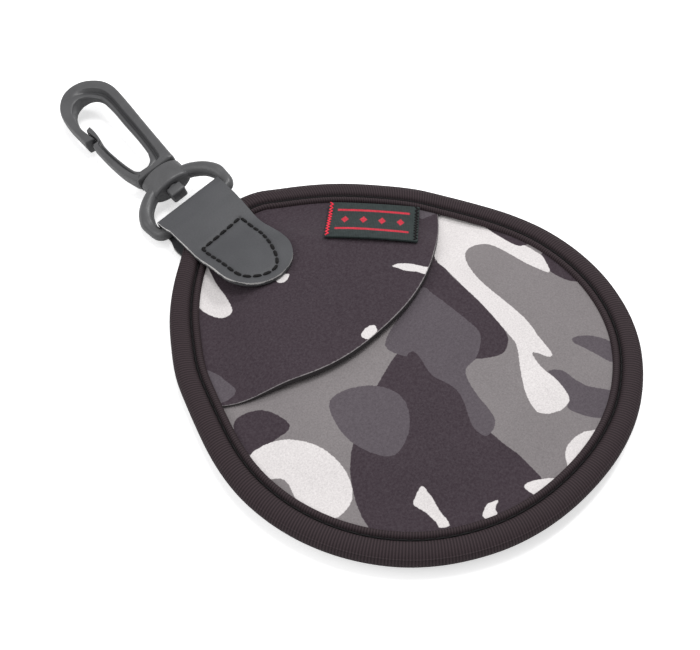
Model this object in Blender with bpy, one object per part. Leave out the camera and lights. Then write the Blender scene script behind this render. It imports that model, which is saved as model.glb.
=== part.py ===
# Round neoprene pouch with a flap over its mouth, a leather tab and a swivel snap hook.
# It lies flat: the back is down, the mouth and the flap are up, and the hook points to +Y.
# The origin is on the resting face, under the centre of the pouch's round lower part.
import math

import bmesh
import bpy
from mathutils import Matrix, Vector
from mathutils.geometry import delaunay_2d_cdt

# Pouch body
body_radius = 0.0550          # round lower part, to the outside of the binding
top_reach = 0.0683            # centre of the round part to the top edge under the tab
neoprene = 0.0018             # sheet thickness, its two jersey faces included
cavity_height = 0.0044        # room inside the empty pouch, at the middle
gap = 0.0003                  # between pieces that touch
flap_clear = 0.0006           # under the flap, where it lies loose on the pocket
pressed_back = 0.0009         # back sheet pressed under the binding
pressed_front = 0.0013        # front sheets pressed under it, one alone or two together
swell_run = 0.0170            # from the seam to where the front is fully swollen
seam_clear = 0.0010           # flat part of the sheets beside the binding
sheet_grid = 0.0055           # spacing of the sheets' inner points

# Angle from +Y in degrees, share of body_radius, share of the reach past it
outline_shares = (
    (0, 1.000, 1.00), (6, 1.002, 1.00), (11, 1.000, 0.94), (16, 1.000, 0.77),
    (22, 1.000, 0.61), (30, 1.000, 0.42), (40, 1.000, 0.21), (50, 1.000, 0.07),
    (60, 0.986, 0.00), (70, 0.978, 0.00), (90, 0.998, 0.00), (110, 1.012, 0.00),
    (130, 1.014, 0.00), (150, 0.998, 0.00), (180, 0.977, 0.00),
)
outline_steps = 84

# Binding tape
tape = 0.0006
tape_width = 0.0074           # how far it reaches in from the edge, on each side
tape_round = 0.0011
tape_corner_share = 0.3      # how far the round corner's middle point lies in
tape_base = 0.0023            # its underside above the table
seam_inset = 0.0054           # stitch line, in from the edge
seam_groove = 0.0004
seam_groove_half = 0.0005
seam_thread = 0.0003          # thread diameter
seam_sides = 4

# Flap and pocket edges: y = dip + rise * (|x - shift| / span) ** power
edge_power = 2.25
edge_span = 0.0410
edge_rise = 0.0162
edge_shift = -0.0030
flap_dip = 0.0076             # lowest point of the flap's free edge
pocket_dip = 0.0128           # lowest point of the pocket's edge, under the flap
fold_y = 0.0195               # the tongue folds back along this line
overlap_low = 0.0060          # where the sheets start to be pressed together
overlap_run = 0.0130
pocket_end_y = 0.0390         # the flap drops to the back sheet from here
pocket_end_run = 0.0060
flap_fall_y = 0.0340          # above the pocket's corners, the flap comes down
flap_fall_run = 0.0220
flap_fall = 0.0021
back_lift_y = 0.0220          # the back sheet rises over the tab's back leaf
back_lift_run = 0.0120

# Woven label
label_length = 0.0238
label_width = 0.0165
label_thick = 0.0008
label_bearing = math.radians(40.02)    # of its middle, from +Y
label_inset = 0.0171          # of its middle, from the edge
label_turn = math.radians(-51.2)
label_seam_width = 0.0012
label_seam_inset = 0.0006
label_seam_thick = 0.0003
label_seam_clear = 0.0004
label_grid = 0.0040

# Strap: leather tab, loop and hook share one line
strap_lean = math.radians(8.2)    # the strap leans towards +X
strap_roll = math.radians(14.0)   # past the pouch it is rolled, with its +X side up
bar_x = -0.0032
bar_past = 0.0044              # how far the loop's bar lies past the top edge
bar_y = top_reach + bar_past
bar_z = 0.0059
leather = 0.0012
tab_width = 0.0200
front_leaf = 0.0364           # bar to the round tip
back_leaf = 0.0345
fold_clear = 0.0005           # between the bar and the leather round it
fold_slack = 0.0003           # the fold's centre past the bar
leaf_settle = 0.0040          # the leaves lie on the pouch from here back
leaf_step = 0.0026
rise_share = 0.8          # how far the front leaf has risen and rolled halfway to the bar
turn_run_share = 0.3          # where the back leaf turns under, of leaf_settle
turn_drop_share = 0.85        # how far it has come up there
turn_roll_share = 0.85        # and how far it has rolled
tip_end_half = 0.0008
tab_thread = 0.0005
back_thread = 0.0003
stitch_start = 0.0114         # nearest point of the seam, back from the bar
stitch_end = 0.0341           # bottom of the round row
stitch_half = 0.0073
# Across as a share of stitch_half, and along from stitch_start to stitch_end
stitch_shares = (
    (-0.99, 0.13), (0.88, 0.00), (0.96, 0.12), (0.96, 0.34), (0.86, 0.53), (0.73, 0.70),
    (0.55, 0.86), (0.30, 0.97), (0.03, 1.00), (-0.27, 0.99), (-0.60, 0.94), (-0.85, 0.86),
    (-0.97, 0.74), (-1.00, 0.56), (-1.00, 0.34),
)

# Swivel loop
wire_radius = 0.00165
wire_sides = 10
loop_half = 0.01185           # centre of the wire
loop_rise = 0.0133            # bar to the wire's centre at the collar
loop_shares = (
    (0.000, 0.000), (0.600, 0.000), (0.835, 0.000), (0.958, 0.065), (1.000, 0.245),
    (0.970, 0.490), (0.825, 0.720), (0.560, 0.914), (0.255, 1.000), (0.000, 1.010),
)
collar_start = 0.0106
collar_length = 0.0069
collar_half_wide = 0.0061
collar_half_thick = 0.0030
collar_sides = 20
shank_radius = 0.0016
shank_clear = 0.0003
shank_sides = 14
shank_reach = 0.0022          # how far the shank runs into the hook's base
head_half_wide = 0.0026
head_half_thick = 0.0020
head_length = 0.0033
head_bevel = 0.0006

# Snap hook
hook_length = 0.0445              # from its base to the top of the bow
hook_half = 0.0093                # widest side, from the swivel's axis
hook_thick = 0.0046
hook_bevel = 0.0009
gate_thick = 0.0036
gate_bevel = 0.0006
# Points as shares of hook_half across and of hook_length along, from the base
hook_shares = (
    (-0.63, 0.004), (0.00, 0.004), (0.63, 0.004), (0.655, 0.050), (0.71, 0.207), (0.775, 0.387),
    (0.85, 0.573), (0.90, 0.735), (0.88, 0.809), (0.785, 0.872), (0.61, 0.926), (0.365, 0.973),
    (0.11, 0.996), (-0.14, 1.000), (-0.42, 0.984), (-0.68, 0.939), (-0.87, 0.876),
    (-0.97, 0.800), (-1.00, 0.712), (-1.00, 0.600), (-0.995, 0.506), (-0.96, 0.492),
    (-0.85, 0.493), (-0.79, 0.510), (-0.755, 0.578), (-0.73, 0.656), (-0.69, 0.730),
    (-0.58, 0.798), (-0.40, 0.843), (-0.18, 0.858), (0.065, 0.840), (0.27, 0.795),
    (0.355, 0.724), (0.355, 0.634), (0.31, 0.500), (0.27, 0.330), (0.205, 0.195),
    (0.085, 0.121), (-0.13, 0.085), (-0.32, 0.092), (-0.425, 0.085), (-0.505, 0.054),
    (-0.625, 0.030),
)
gate_shares = (
    (-0.69, 0.043), (-0.555, 0.067), (-0.478, 0.098), (-0.525, 0.166), (-0.58, 0.252),
    (-0.60, 0.364), (-0.58, 0.488), (-0.54, 0.602), (-0.56, 0.618), (-0.67, 0.618),
    (-0.69, 0.589), (-0.715, 0.521), (-0.745, 0.479), (-0.87, 0.478),
    (-0.89, 0.409), (-0.89, 0.297), (-0.865, 0.196), (-0.795, 0.108), (-0.745, 0.063),
)
gate_root_shares = (-0.495, 0.072)
curve_steps = 2

half_turn = math.pi
full_turn = 2 * math.pi


def clear_scene():
    for thing in list(bpy.data.objects):
        bpy.data.objects.remove(thing, do_unlink=True)


def material(name, colour, roughness, metallic=0.0):
    made = bpy.data.materials.new(name)
    made.use_nodes = True
    shader = made.node_tree.nodes["Principled BSDF"]
    shader.inputs["Base Color"].default_value = (*colour, 1.0)
    shader.inputs["Roughness"].default_value = roughness
    shader.inputs["Metallic"].default_value = metallic
    return made


def add_object(name, mesh_builder, look):
    mesh = bpy.data.meshes.new(name)
    mesh_builder.normal_update()
    bmesh.ops.recalc_face_normals(mesh_builder, faces=mesh_builder.faces)
    mesh_builder.to_mesh(mesh)
    mesh_builder.free()
    mesh.shade_smooth()
    mesh.set_sharp_from_angle(angle=math.radians(40))
    mesh.materials.append(look)
    made = bpy.data.objects.new(name, mesh)
    bpy.context.scene.collection.objects.link(made)
    return made


def mix(low, high, share):
    return low + (high - low) * share


def ease(value, start, run):
    share = min(max((value - start) / run, 0.0), 1.0)
    return share * share * (3 - 2 * share)


# The outline of the pouch

def rim_radius(angle):
    # Distance from the centre to the edge, at an angle from +Y
    side = abs(math.degrees(math.remainder(angle, full_turn)))
    rows = outline_shares
    at = 0
    while at < len(rows) - 2 and side > rows[at + 1][0]:
        at += 1

    def radius(index):
        index = abs(index)
        if index > len(rows) - 1:
            index = 2 * (len(rows) - 1) - index
        return body_radius * rows[index][1] + (top_reach - body_radius) * rows[index][2]

    def place(index):
        if index < 0:
            return -rows[-index][0]
        if index > len(rows) - 1:
            return 360 - rows[2 * (len(rows) - 1) - index][0]
        return rows[index][0]

    share = (side - place(at)) / (place(at + 1) - place(at))
    slope_in = (radius(at + 1) - radius(at - 1)) / (place(at + 1) - place(at - 1))
    slope_out = (radius(at + 2) - radius(at)) / (place(at + 2) - place(at))
    run = place(at + 1) - place(at)
    keep = 2 * share ** 3 - 3 * share ** 2 + 1
    lead = share ** 3 - 2 * share ** 2 + share
    trail = share ** 3 - share ** 2
    return (keep * radius(at) + lead * run * slope_in
            + (1 - keep) * radius(at + 1) + trail * run * slope_out)


def rim_point(angle, inset):
    # A point at the edge, moved in along the edge's normal
    turn = math.radians(1)
    radius = rim_radius(angle)
    point = Vector((math.sin(angle), math.cos(angle))) * radius
    ahead = Vector((math.sin(angle + turn), math.cos(angle + turn))) * rim_radius(angle + turn)
    behind = Vector((math.sin(angle - turn), math.cos(angle - turn))) * rim_radius(angle - turn)
    along = (ahead - behind).normalized()
    return point + Vector((along.y, -along.x)) * inset


def rim_angles():
    return [full_turn * step / outline_steps for step in range(outline_steps)]


def depth(x, y):
    # How far a point lies in from the edge
    angle = math.atan2(x, y)
    turn = math.radians(1)
    radius = rim_radius(angle)
    slope = (rim_radius(angle + turn) - rim_radius(angle - turn)) / (2 * turn)
    return (radius - math.hypot(x, y)) * radius / math.hypot(radius, slope)


def swell(x, y):
    return ease(depth(x, y), tape_width + seam_clear, swell_run)


# Heights of the sheets' faces

back_rim_low = tape_base + tape + gap
back_rim_high = back_rim_low + pressed_back
front_rim_low = back_rim_high + gap
front_rim_high = front_rim_low + pressed_front
tape_top = front_rim_high + gap + tape
pressed_each = (pressed_front - gap) / 2             # where the flap and the pocket overlap
flap_face = 3 * neoprene + cavity_height + flap_clear   # the flap's upper face, at the middle
seam_lift = gap + seam_thread / 2 - seam_groove      # the thread's centre, past the tape's face
leaf_drop = seam_lift + seam_thread / 2 + gap        # the tab's back leaf, below the tape


def back_low(x, y):
    inside = mix(0.0, tape_base, ease(y, back_lift_y, back_lift_run))
    return mix(back_rim_low, inside, swell(x, y))


def back_high(x, y):
    inside = mix(0.0, tape_base, ease(y, back_lift_y, back_lift_run)) + neoprene
    return mix(back_rim_high, inside, swell(x, y))


def pocket_low(x, y):
    return mix(front_rim_low, neoprene + cavity_height, swell(x, y))


def pocket_high(x, y):
    rim = mix(front_rim_high, front_rim_low + pressed_each, ease(y, overlap_low, overlap_run))
    return mix(rim, 2 * neoprene + cavity_height, swell(x, y))


def flap_low(x, y):
    pressed = mix(front_rim_high, front_rim_low + pressed_each, ease(y, overlap_low, overlap_run))
    rim = mix(pressed + gap, front_rim_low, ease(y, pocket_end_y, pocket_end_run))
    inside = 2 * neoprene + cavity_height + flap_clear - flap_fall * ease(y, flap_fall_y, flap_fall_run)
    return mix(rim, inside, swell(x, y))


def flap_high(x, y):
    rim = mix(front_rim_high + gap + neoprene, front_rim_high, ease(y, overlap_low, overlap_run))
    inside = flap_face - flap_fall * ease(y, flap_fall_y, flap_fall_run)
    return mix(rim, inside, swell(x, y))


# Sheets

def move_origin(made, place):
    # Puts an object's origin at a point, with its surface left where it is
    made.data.transform(Matrix.Translation(-place))
    made.matrix_world = Matrix.Translation(place)


def inside_loop(point, loop):
    x, y = point
    hit = False
    for one, two in zip(loop, loop[1:] + loop[:1]):
        if (one[1] > y) != (two[1] > y):
            if x < one[0] + (y - one[1]) * (two[0] - one[0]) / (two[1] - one[1]):
                hit = not hit
    return hit


def far_from_loop(point, loop, least):
    here = Vector(point)
    for one, two in zip(loop, loop[1:] + loop[:1]):
        start = Vector(one)
        run = Vector(two) - start
        share = min(max((here - start).dot(run) / run.length_squared, 0.0), 1.0)
        if (here - start - run * share).length < least:
            return False
    return True


def sheet(name, loop, low, high, grid, look):
    # A closed sheet: an outline, filled with a grid, between two height functions
    loop = [tuple(point) for point in loop]
    reach_x = max(abs(point[0]) for point in loop)
    reach_y = max(abs(point[1]) for point in loop)
    across = math.ceil(reach_x / grid)
    along = math.ceil(reach_y / grid)
    inner = []
    for row in range(-along, along + 1):
        for column in range(-across, across + 1):
            point = ((column + 0.5 * (row % 2)) * grid, row * grid)
            if inside_loop(point, loop) and far_from_loop(point, loop, grid / 2):
                inner.append(point)
    places = [Vector(point) for point in loop + inner]
    ring = list(range(len(loop)))
    edges = list(zip(ring, ring[1:] + ring[:1]))
    points, _, faces, _, _, _ = delaunay_2d_cdt(places, edges, [ring], 1, 1e-7)
    body = bmesh.new()
    top = [body.verts.new((p.x, p.y, high(p.x, p.y))) for p in points]
    bottom = [body.verts.new((p.x, p.y, low(p.x, p.y))) for p in points]
    count = {}
    for face in faces:
        body.faces.new([top[i] for i in face])
        body.faces.new([bottom[i] for i in reversed(face)])
        for one, two in zip(face, face[1:] + face[:1]):
            count[(one, two)] = True
    for one, two in count:
        if (two, one) not in count:
            body.faces.new((top[two], top[one], bottom[one], bottom[two]))
    return add_object(name, body, look)


def edge_line(x, dip):
    return dip + edge_rise * (abs(x - edge_shift) / edge_span) ** edge_power


def edge_crossing(dip, inset, side):
    # Angle from +Y at which an edge line meets the outline
    low, high = 0.0, half_turn
    for _ in range(40):
        middle = (low + high) / 2
        point = rim_point(side * middle, inset)
        if point.y > edge_line(point.x, dip):
            low = middle
        else:
            high = middle
    return side * low


def rim_run(start, end, inset):
    # Points round the edge between two angles, counting down from start to end
    span = start - end
    steps = max(2, round(outline_steps * span / full_turn))
    return [rim_point(start - span * step / steps, inset) for step in range(steps + 1)]


def line_run(x_start, x_end, dip, step):
    steps = max(1, round(abs(x_end - x_start) / step))
    places = [mix(x_start, x_end, at / steps) for at in range(steps + 1)]
    return [Vector((x, edge_line(x, dip))) for x in places]


def make_sheets(look_back, look_pocket, look_flap):
    inset = tape + gap
    whole = [rim_point(-angle, inset) for angle in rim_angles()]
    back = sheet("back_panel", whole, back_low, back_high, sheet_grid, look_back)

    left = edge_crossing(pocket_dip, inset, -1)
    right = edge_crossing(pocket_dip, inset, 1)
    rim = rim_run(full_turn + left, right, inset)
    mouth = line_run(rim[-1].x, rim[0].x, pocket_dip, sheet_grid)[1:-1]
    pocket = sheet("pocket_panel", rim + mouth, pocket_low, pocket_high, sheet_grid, look_pocket)

    reach = edge_span * ((fold_y - flap_dip) / edge_rise) ** (1 / edge_power)
    fold_left = edge_shift - reach
    fold_right = edge_shift + reach
    free_edge = line_run(fold_left, fold_right, flap_dip, sheet_grid / 2)
    fold_steps = round((fold_right - fold_left) / sheet_grid)
    fold_line = [Vector((mix(fold_right, fold_left, at / fold_steps), fold_y))
                 for at in range(1, fold_steps)]
    tongue = sheet("flap_tongue", free_edge + fold_line, flap_low, flap_high, sheet_grid, look_flap)
    move_origin(tongue, Vector((0, fold_y + gap / 2, flap_face)))

    left = edge_crossing(flap_dip, inset, -1)
    right = edge_crossing(flap_dip, inset, 1)
    rim = rim_run(right, left, inset)
    low_left = line_run(rim[-1].x, fold_left, flap_dip, sheet_grid / 2)[1:-1]
    low_right = line_run(fold_right, rim[0].x, flap_dip, sheet_grid / 2)[1:-1]
    base_y = fold_y + gap
    low_left = [point for point in low_left if point.y > base_y + gap]
    low_right = [point for point in low_right if point.y > base_y + gap]
    hinge = [Vector((mix(fold_left, fold_right, at / fold_steps), base_y))
             for at in range(fold_steps + 1)]
    base = sheet("flap_base", rim + low_left + hinge + low_right, flap_low, flap_high,
                 sheet_grid, look_flap)
    return back, pocket, tongue, base


# Swept pieces

def sweep_rings(body, rings, closed):
    rows = [[body.verts.new(point) for point in ring] for ring in rings]
    pairs = list(zip(rows, rows[1:]))
    if closed:
        pairs.append((rows[-1], rows[0]))
    for one, two in pairs:
        for at in range(len(one)):
            after = (at + 1) % len(one)
            body.faces.new((one[at], one[after], two[after], two[at]))
    if not closed:
        body.faces.new(list(reversed(rows[0])))
        body.faces.new(rows[-1])


def tube(name, path, radius, sides, closed, look):
    rings = []
    count = len(path)
    for at, point in enumerate(path):
        if closed:
            along = path[(at + 1) % count] - path[at - 1]
        else:
            along = path[min(at + 1, count - 1)] - path[max(at - 1, 0)]
        along = along.normalized()
        side = along.cross(Vector((0, 0, 1))).normalized()
        up = side.cross(along).normalized()
        ring = []
        for step in range(sides):
            turn = full_turn * step / sides
            ring.append(point + (side * math.cos(turn) + up * math.sin(turn)) * radius)
        rings.append(ring)
    body = bmesh.new()
    sweep_rings(body, rings, closed)
    return add_object(name, body, look)


def make_binding(look, thread_look):
    bottom = tape_base
    corner = tape_round * tape_corner_share
    inner_low = tape_base + tape
    inner_high = tape_top - tape
    groove_in = seam_inset + seam_groove_half
    groove_out = seam_inset - seam_groove_half
    profile = (
        (tape_width, inner_low), (tape, inner_low), (tape, inner_high), (tape_width, inner_high),
        (tape_width, tape_top - seam_groove), (tape_width - seam_groove, tape_top),
        (groove_in, tape_top), (seam_inset, tape_top - seam_groove), (groove_out, tape_top),
        (tape_round, tape_top), (corner, tape_top - corner),
        (0.0, tape_top - tape_round), (0.0, bottom + tape_round),
        (corner, bottom + corner), (tape_round, bottom),
        (groove_out, bottom), (seam_inset, bottom + seam_groove), (groove_in, bottom),
        (tape_width - seam_groove, bottom), (tape_width, bottom + seam_groove),
    )
    rings = []
    for angle in rim_angles():
        ring = []
        for inset, height in profile:
            point = rim_point(angle, inset)
            ring.append(Vector((point.x, point.y, height)))
        rings.append(ring)
    body = bmesh.new()
    sweep_rings(body, rings, True)
    binding = add_object("edge_binding", body, look)

    rows = (("binding_front_stitching", tape_top + seam_lift),
            ("binding_back_stitching", bottom - seam_lift))
    for name, height in rows:
        path = []
        for angle in rim_angles():
            point = rim_point(angle, seam_inset)
            path.append(Vector((point.x, point.y, height)))
        tube(name, path, seam_thread / 2, seam_sides, True, thread_look)
    return binding


# Label

def label_loop(start, end):
    # Corners of a stretch of the label, measured along it from its upper end
    along = Vector((math.cos(label_turn), math.sin(label_turn)))
    across = Vector((-along.y, along.x))
    middle = rim_point(label_bearing, label_inset)
    half = label_width / 2
    first = middle + along * (start - label_length / 2)
    last = middle + along * (end - label_length / 2)
    near = [mix(first, last, at / 4) - across * half for at in range(5)]
    far = [mix(last, first, at / 4) + across * half for at in range(5)]
    return near + far


def make_label(look, upper_look, lower_look):
    def low(x, y):
        return flap_high(x, y) + gap

    def high(x, y):
        return low(x, y) + label_thick

    def seam_low(x, y):
        return high(x, y) + label_seam_clear

    def seam_high(x, y):
        return seam_low(x, y) + label_seam_thick

    sheet("woven_label", label_loop(0.0, label_length), low, high, label_grid, look)
    start = label_seam_inset
    end = label_length - label_seam_inset
    sheet("label_upper_stitching", label_loop(start, start + label_seam_width),
          seam_low, seam_high, label_grid, upper_look)
    sheet("label_lower_stitching", label_loop(end - label_seam_width, end),
          seam_low, seam_high, label_grid, lower_look)


# Strap

def strap_frame():
    return Matrix.Translation((bar_x, bar_y, bar_z)) @ Matrix.Rotation(-strap_lean, 4, "Z")


def rolled_frame():
    return strap_frame() @ Matrix.Rotation(-strap_roll, 4, "Y")


def leaf_rest(along, half):
    # Highest point of the pouch under a stretch of the front leaf
    frame = strap_frame()
    highest = 0.0
    for shift in (-1, 0, 1):
        for side in (-1.0, -0.5, 0.0, 0.5, 1.0):
            point = frame @ Vector((side * half, along + shift * leaf_step, 0))
            inside = depth(point.x, point.y)
            if inside < 0:
                continue
            height = tape_top if inside < tape_width + gap else flap_high(point.x, point.y)
            highest = max(highest, height)
    return highest


def leaf_half(past_tip):
    # Half the tab's width, at a distance in from its round tip
    half = tab_width / 2
    if past_tip >= half:
        return half
    return max(tip_end_half, math.sqrt(max(half ** 2 - (half - past_tip) ** 2, 0.0)))


def tip_places(length):
    # Distances from the tip: close together on the round end, then even
    half = tab_width / 2
    round_end = [half * (1 - math.cos(half_turn / 2 * step / 6)) for step in range(7)]
    straight = math.ceil((length - half) / leaf_step)
    return round_end + [mix(half, length, step / straight) for step in range(1, straight + 1)]


def tab_path():
    # Middle of the leather as (along, height, half width, share of the roll), round the fold
    rows = []
    for place in tip_places(front_leaf - leaf_settle):
        along = place - front_leaf
        height = leaf_rest(along, leaf_half(place)) + gap + leather / 2 - bar_z
        rows.append((along, height, leaf_half(place), 0.0))
    fold_radius = wire_radius + fold_clear + leather / 2
    half = tab_width / 2
    rows.append((-leaf_settle / 2, mix(rows[-1][1], fold_radius, rise_share), half, rise_share))
    for step in range(9):
        turn = half_turn / 2 - half_turn * step / 8
        rows.append((fold_slack + fold_radius * math.cos(turn), fold_radius * math.sin(turn),
                     half, 1.0))
    floor = tape_base - leaf_drop - leather / 2 - bar_z
    rows.append((-leaf_settle * turn_run_share, mix(floor, -fold_radius, turn_drop_share),
                 half, turn_roll_share))
    back_rows = [(place - back_leaf, floor, leaf_half(place), 0.0)
                 for place in tip_places(back_leaf - leaf_settle)]
    return rows + list(reversed(back_rows))


def make_tab(look, thread_look):
    rows = tab_path()
    rings = []
    for at, (along, height, half, share) in enumerate(rows):
        ahead = rows[min(at + 1, len(rows) - 1)]
        behind = rows[max(at - 1, 0)]
        run = Vector((ahead[0] - behind[0], ahead[1] - behind[1])).normalized()
        out = Vector((-run.y, run.x)) * leather / 2
        roll = Matrix.Rotation(-strap_roll * share, 3, "Y")
        ring = []
        for side in (-1, 0, 1):
            ring.append(roll @ Vector((side * half, along + out.x, height + out.y)))
        for side in (1, 0, -1):
            ring.append(roll @ Vector((side * half, along - out.x, height - out.y)))
        rings.append(ring)
    body = bmesh.new()
    sweep_rings(body, rings, False)
    tab = add_object("leather_tab", body, look)
    tab.matrix_world = strap_frame()

    def path(height):
        points = [(across * stitch_half, -mix(stitch_start, stitch_end, along))
                  for across, along in stitch_shares]
        return [Vector((x, y, height(x, y))) for x, y in points]

    def front(_, along):
        above = leaf_rest(along, tab_width / 2) + gap + leather + gap + tab_thread / 2
        return above - bar_z

    def back(_, __):
        return back_thread / 2 - bar_z

    stitched = tube("tab_front_stitching", path(front), tab_thread / 2, seam_sides, True, thread_look)
    stitched.matrix_world = strap_frame()
    locked = tube("tab_back_stitching", path(back), back_thread / 2, seam_sides, True, thread_look)
    locked.matrix_world = strap_frame()


# Swivel loop and snap hook

def smooth_loop(points, steps):
    # A round curve through a closed list of points
    made = []
    count = len(points)
    for at in range(count):
        before, start, end, after = (Vector(points[(at + i) % count]) for i in (-1, 0, 1, 2))
        for step in range(steps):
            share = step / steps
            made.append(0.5 * (2 * start + (end - before) * share
                               + (2 * before - 5 * start + 4 * end - after) * share ** 2
                               + (3 * start - before - 3 * end + after) * share ** 3))
    return made


def join(target, tool, operation):
    change = target.modifiers.new(tool.name, "BOOLEAN")
    change.operation = operation
    change.object = tool
    tool.hide_render = True
    tool.display_type = "WIRE"


def barrel(name, start, length, wide, thick, sides, look, first=0.0):
    body = bmesh.new()
    rings = []
    for along in (start, start + length):
        ring = []
        for step in range(sides):
            turn = first + full_turn * step / sides
            ring.append(Vector((wide * math.cos(turn), along, thick * math.sin(turn))))
        rings.append(ring)
    sweep_rings(body, rings, False)
    return add_object(name, body, look)


def make_loop(look):
    right = [(x * loop_half, y * loop_rise, 0.0) for x, y in loop_shares]
    left = [(-x, y, z) for x, y, z in reversed(right[1:-1])]
    path = smooth_loop(right + left, 3)
    loop = tube("swivel_loop", path, wire_radius, wire_sides, True, look)
    collar = barrel("collar_guide", collar_start, collar_length, collar_half_wide,
                    collar_half_thick, collar_sides, look)
    bore = barrel("bore_guide", collar_start - collar_length, 3 * collar_length,
                  shank_radius + shank_clear, shank_radius + shank_clear, collar_sides, look)
    join(loop, collar, "UNION")
    join(loop, bore, "DIFFERENCE")
    for piece in (loop, collar, bore):
        piece.matrix_world = rolled_frame()
    return loop


def plate(name, points, thick, bevel, look):
    # An outline with thickness and softened edges, in the hook's plane
    body = bmesh.new()
    face = body.faces.new([body.verts.new((p.x, p.y, -thick / 2)) for p in points])
    made = bmesh.ops.extrude_face_region(body, geom=[face])
    lifted = [item for item in made["geom"] if isinstance(item, bmesh.types.BMVert)]
    bmesh.ops.translate(body, verts=lifted, vec=(0, 0, thick))
    body.normal_update()
    level = [edge for edge in body.edges
             if abs(edge.verts[0].co.z - edge.verts[1].co.z) < bevel / 2]
    bmesh.ops.bevel(body, geom=level, offset=bevel, segments=1, affect="EDGES",
                    clamp_overlap=True)
    bmesh.ops.triangulate(body, faces=body.faces)
    return add_object(name, body, look)


def hook_points(shares):
    base = collar_start + collar_length + gap
    return [(x * hook_half, base + y * hook_length, 0.0) for x, y in shares]


def make_hook(look):
    frame = rolled_frame()
    hook = plate("snap_hook", smooth_loop(hook_points(hook_shares), curve_steps),
                 hook_thick, hook_bevel, look)
    head_start = collar_start - gap - head_length
    head = barrel("head_guide", head_start, head_length, head_half_wide * math.sqrt(2),
                  head_half_thick * math.sqrt(2), 4, look, full_turn / 8)
    soften = head.modifiers.new("soften", "BEVEL")
    soften.width = head_bevel
    soften.segments = 1
    shank_length = head_length / 2 + gap + collar_length + shank_reach
    shank = barrel("shank_guide", head_start + head_length / 2, shank_length + gap,
                   shank_radius, shank_radius, shank_sides, look)
    join(hook, shank, "UNION")
    join(hook, head, "UNION")
    for piece in (hook, head, shank):
        piece.matrix_world = frame

    root = Vector(hook_points([gate_root_shares])[0])
    points = [point - root for point in smooth_loop(hook_points(gate_shares), curve_steps)]
    gate = plate("hook_gate", points, gate_thick, gate_bevel, look)
    gate.matrix_world = frame @ Matrix.Translation(root)
    return hook, gate


def build():
    clear_scene()
    back_look = material("neoprene_back", (0.055, 0.050, 0.055), 0.85)
    camo_look = material("neoprene_camo", (0.200, 0.195, 0.200), 0.80)
    flap_look = material("neoprene_flap", (0.045, 0.036, 0.041), 0.80)
    tape_look = material("grosgrain", (0.020, 0.015, 0.017), 0.70)
    thread_look = material("black_thread", (0.020, 0.018, 0.020), 0.60)
    label_look = material("label_weave", (0.022, 0.034, 0.034), 0.75)
    red_look = material("red_thread", (0.700, 0.030, 0.060), 0.55)
    leather_look = material("leather", (0.065, 0.068, 0.075), 0.50)
    plastic_look = material("hook_plastic", (0.060, 0.060, 0.064), 0.45)
    make_sheets(back_look, camo_look, flap_look)
    make_binding(tape_look, thread_look)
    make_label(label_look, red_look, thread_look)
    make_tab(leather_look, thread_look)
    make_loop(plastic_look)
    make_hook(plastic_look)


build()
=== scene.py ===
# Round neoprene pouch with a flap over its mouth, a leather tab and a swivel snap hook.
from math import atan2, ceil, cos, degrees, exp, hypot, pi, radians, remainder, sin, sqrt, tau

import bpy
import numpy as np
from mathutils import Matrix, Vector


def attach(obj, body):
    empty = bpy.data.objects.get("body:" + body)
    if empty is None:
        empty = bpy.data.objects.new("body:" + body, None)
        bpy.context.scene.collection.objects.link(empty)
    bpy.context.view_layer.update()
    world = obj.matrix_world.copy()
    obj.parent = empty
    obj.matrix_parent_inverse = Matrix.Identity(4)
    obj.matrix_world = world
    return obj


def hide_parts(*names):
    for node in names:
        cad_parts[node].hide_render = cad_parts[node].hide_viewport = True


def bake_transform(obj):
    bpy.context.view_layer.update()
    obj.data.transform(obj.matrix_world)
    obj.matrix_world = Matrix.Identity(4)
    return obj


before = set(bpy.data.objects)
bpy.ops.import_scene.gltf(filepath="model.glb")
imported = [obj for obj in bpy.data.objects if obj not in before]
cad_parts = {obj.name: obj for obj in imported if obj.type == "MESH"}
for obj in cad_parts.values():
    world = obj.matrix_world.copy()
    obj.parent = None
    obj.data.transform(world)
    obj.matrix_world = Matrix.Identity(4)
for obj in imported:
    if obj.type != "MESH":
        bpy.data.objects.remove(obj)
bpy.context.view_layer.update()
print("frame loaded:", len(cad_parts), "nodes")

# Camera and studio

camera = {
    "aim": (-0.0013, 0.01865, 0.0019),  # table point in the middle of the picture
    "place": (-0.1375, -0.1094, 0.2327),
    "lens": 61.71,
    "sensor": 36.0,
    "nearest": 0.01,
    "farthest": 20,
    "width": 700,  # of the picture that the print's outlines are given in
    "height": 650,
}
studio = {
    "floorSize": 6.0,
    "floorColour": (0.88, 0.88, 0.885),
    "floorRoughness": 0.9,
    "floorGlow": 0.52,
    "worldStrength": 0.53,
    "lampAim": (0, 0.03, 0),
    "lamps": (  # name, place, size, watts
        ("keyLamp", (0.8, 0.1, 0.95), 0.24, 4.6),
        ("topLamp", (0.16, 0.13, 1.0), 0.26, 3.1),
        ("fillLamp", (-0.55, 0.3, 0.6), 0.6, 1.9),
    ),
}


def clearSelection():
    if bpy.context.object and bpy.context.object.mode != "OBJECT":
        bpy.ops.object.mode_set(mode="OBJECT")
    bpy.ops.object.select_all(action="DESELECT")


def lookTo(place, aim):
    return (Vector(aim) - Vector(place)).to_track_quat("-Z", "Y")


def placeCamera():
    clearSelection()
    bpy.ops.object.camera_add(location=camera["place"])
    made = bpy.context.object
    made.name = "viewCamera"
    made.rotation_euler = lookTo(camera["place"], camera["aim"]).to_euler()
    made.data.lens = camera["lens"]
    made.data.sensor_width = camera["sensor"]
    made.data.clip_start = camera["nearest"]
    made.data.clip_end = camera["farthest"]
    bpy.context.scene.camera = made


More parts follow.
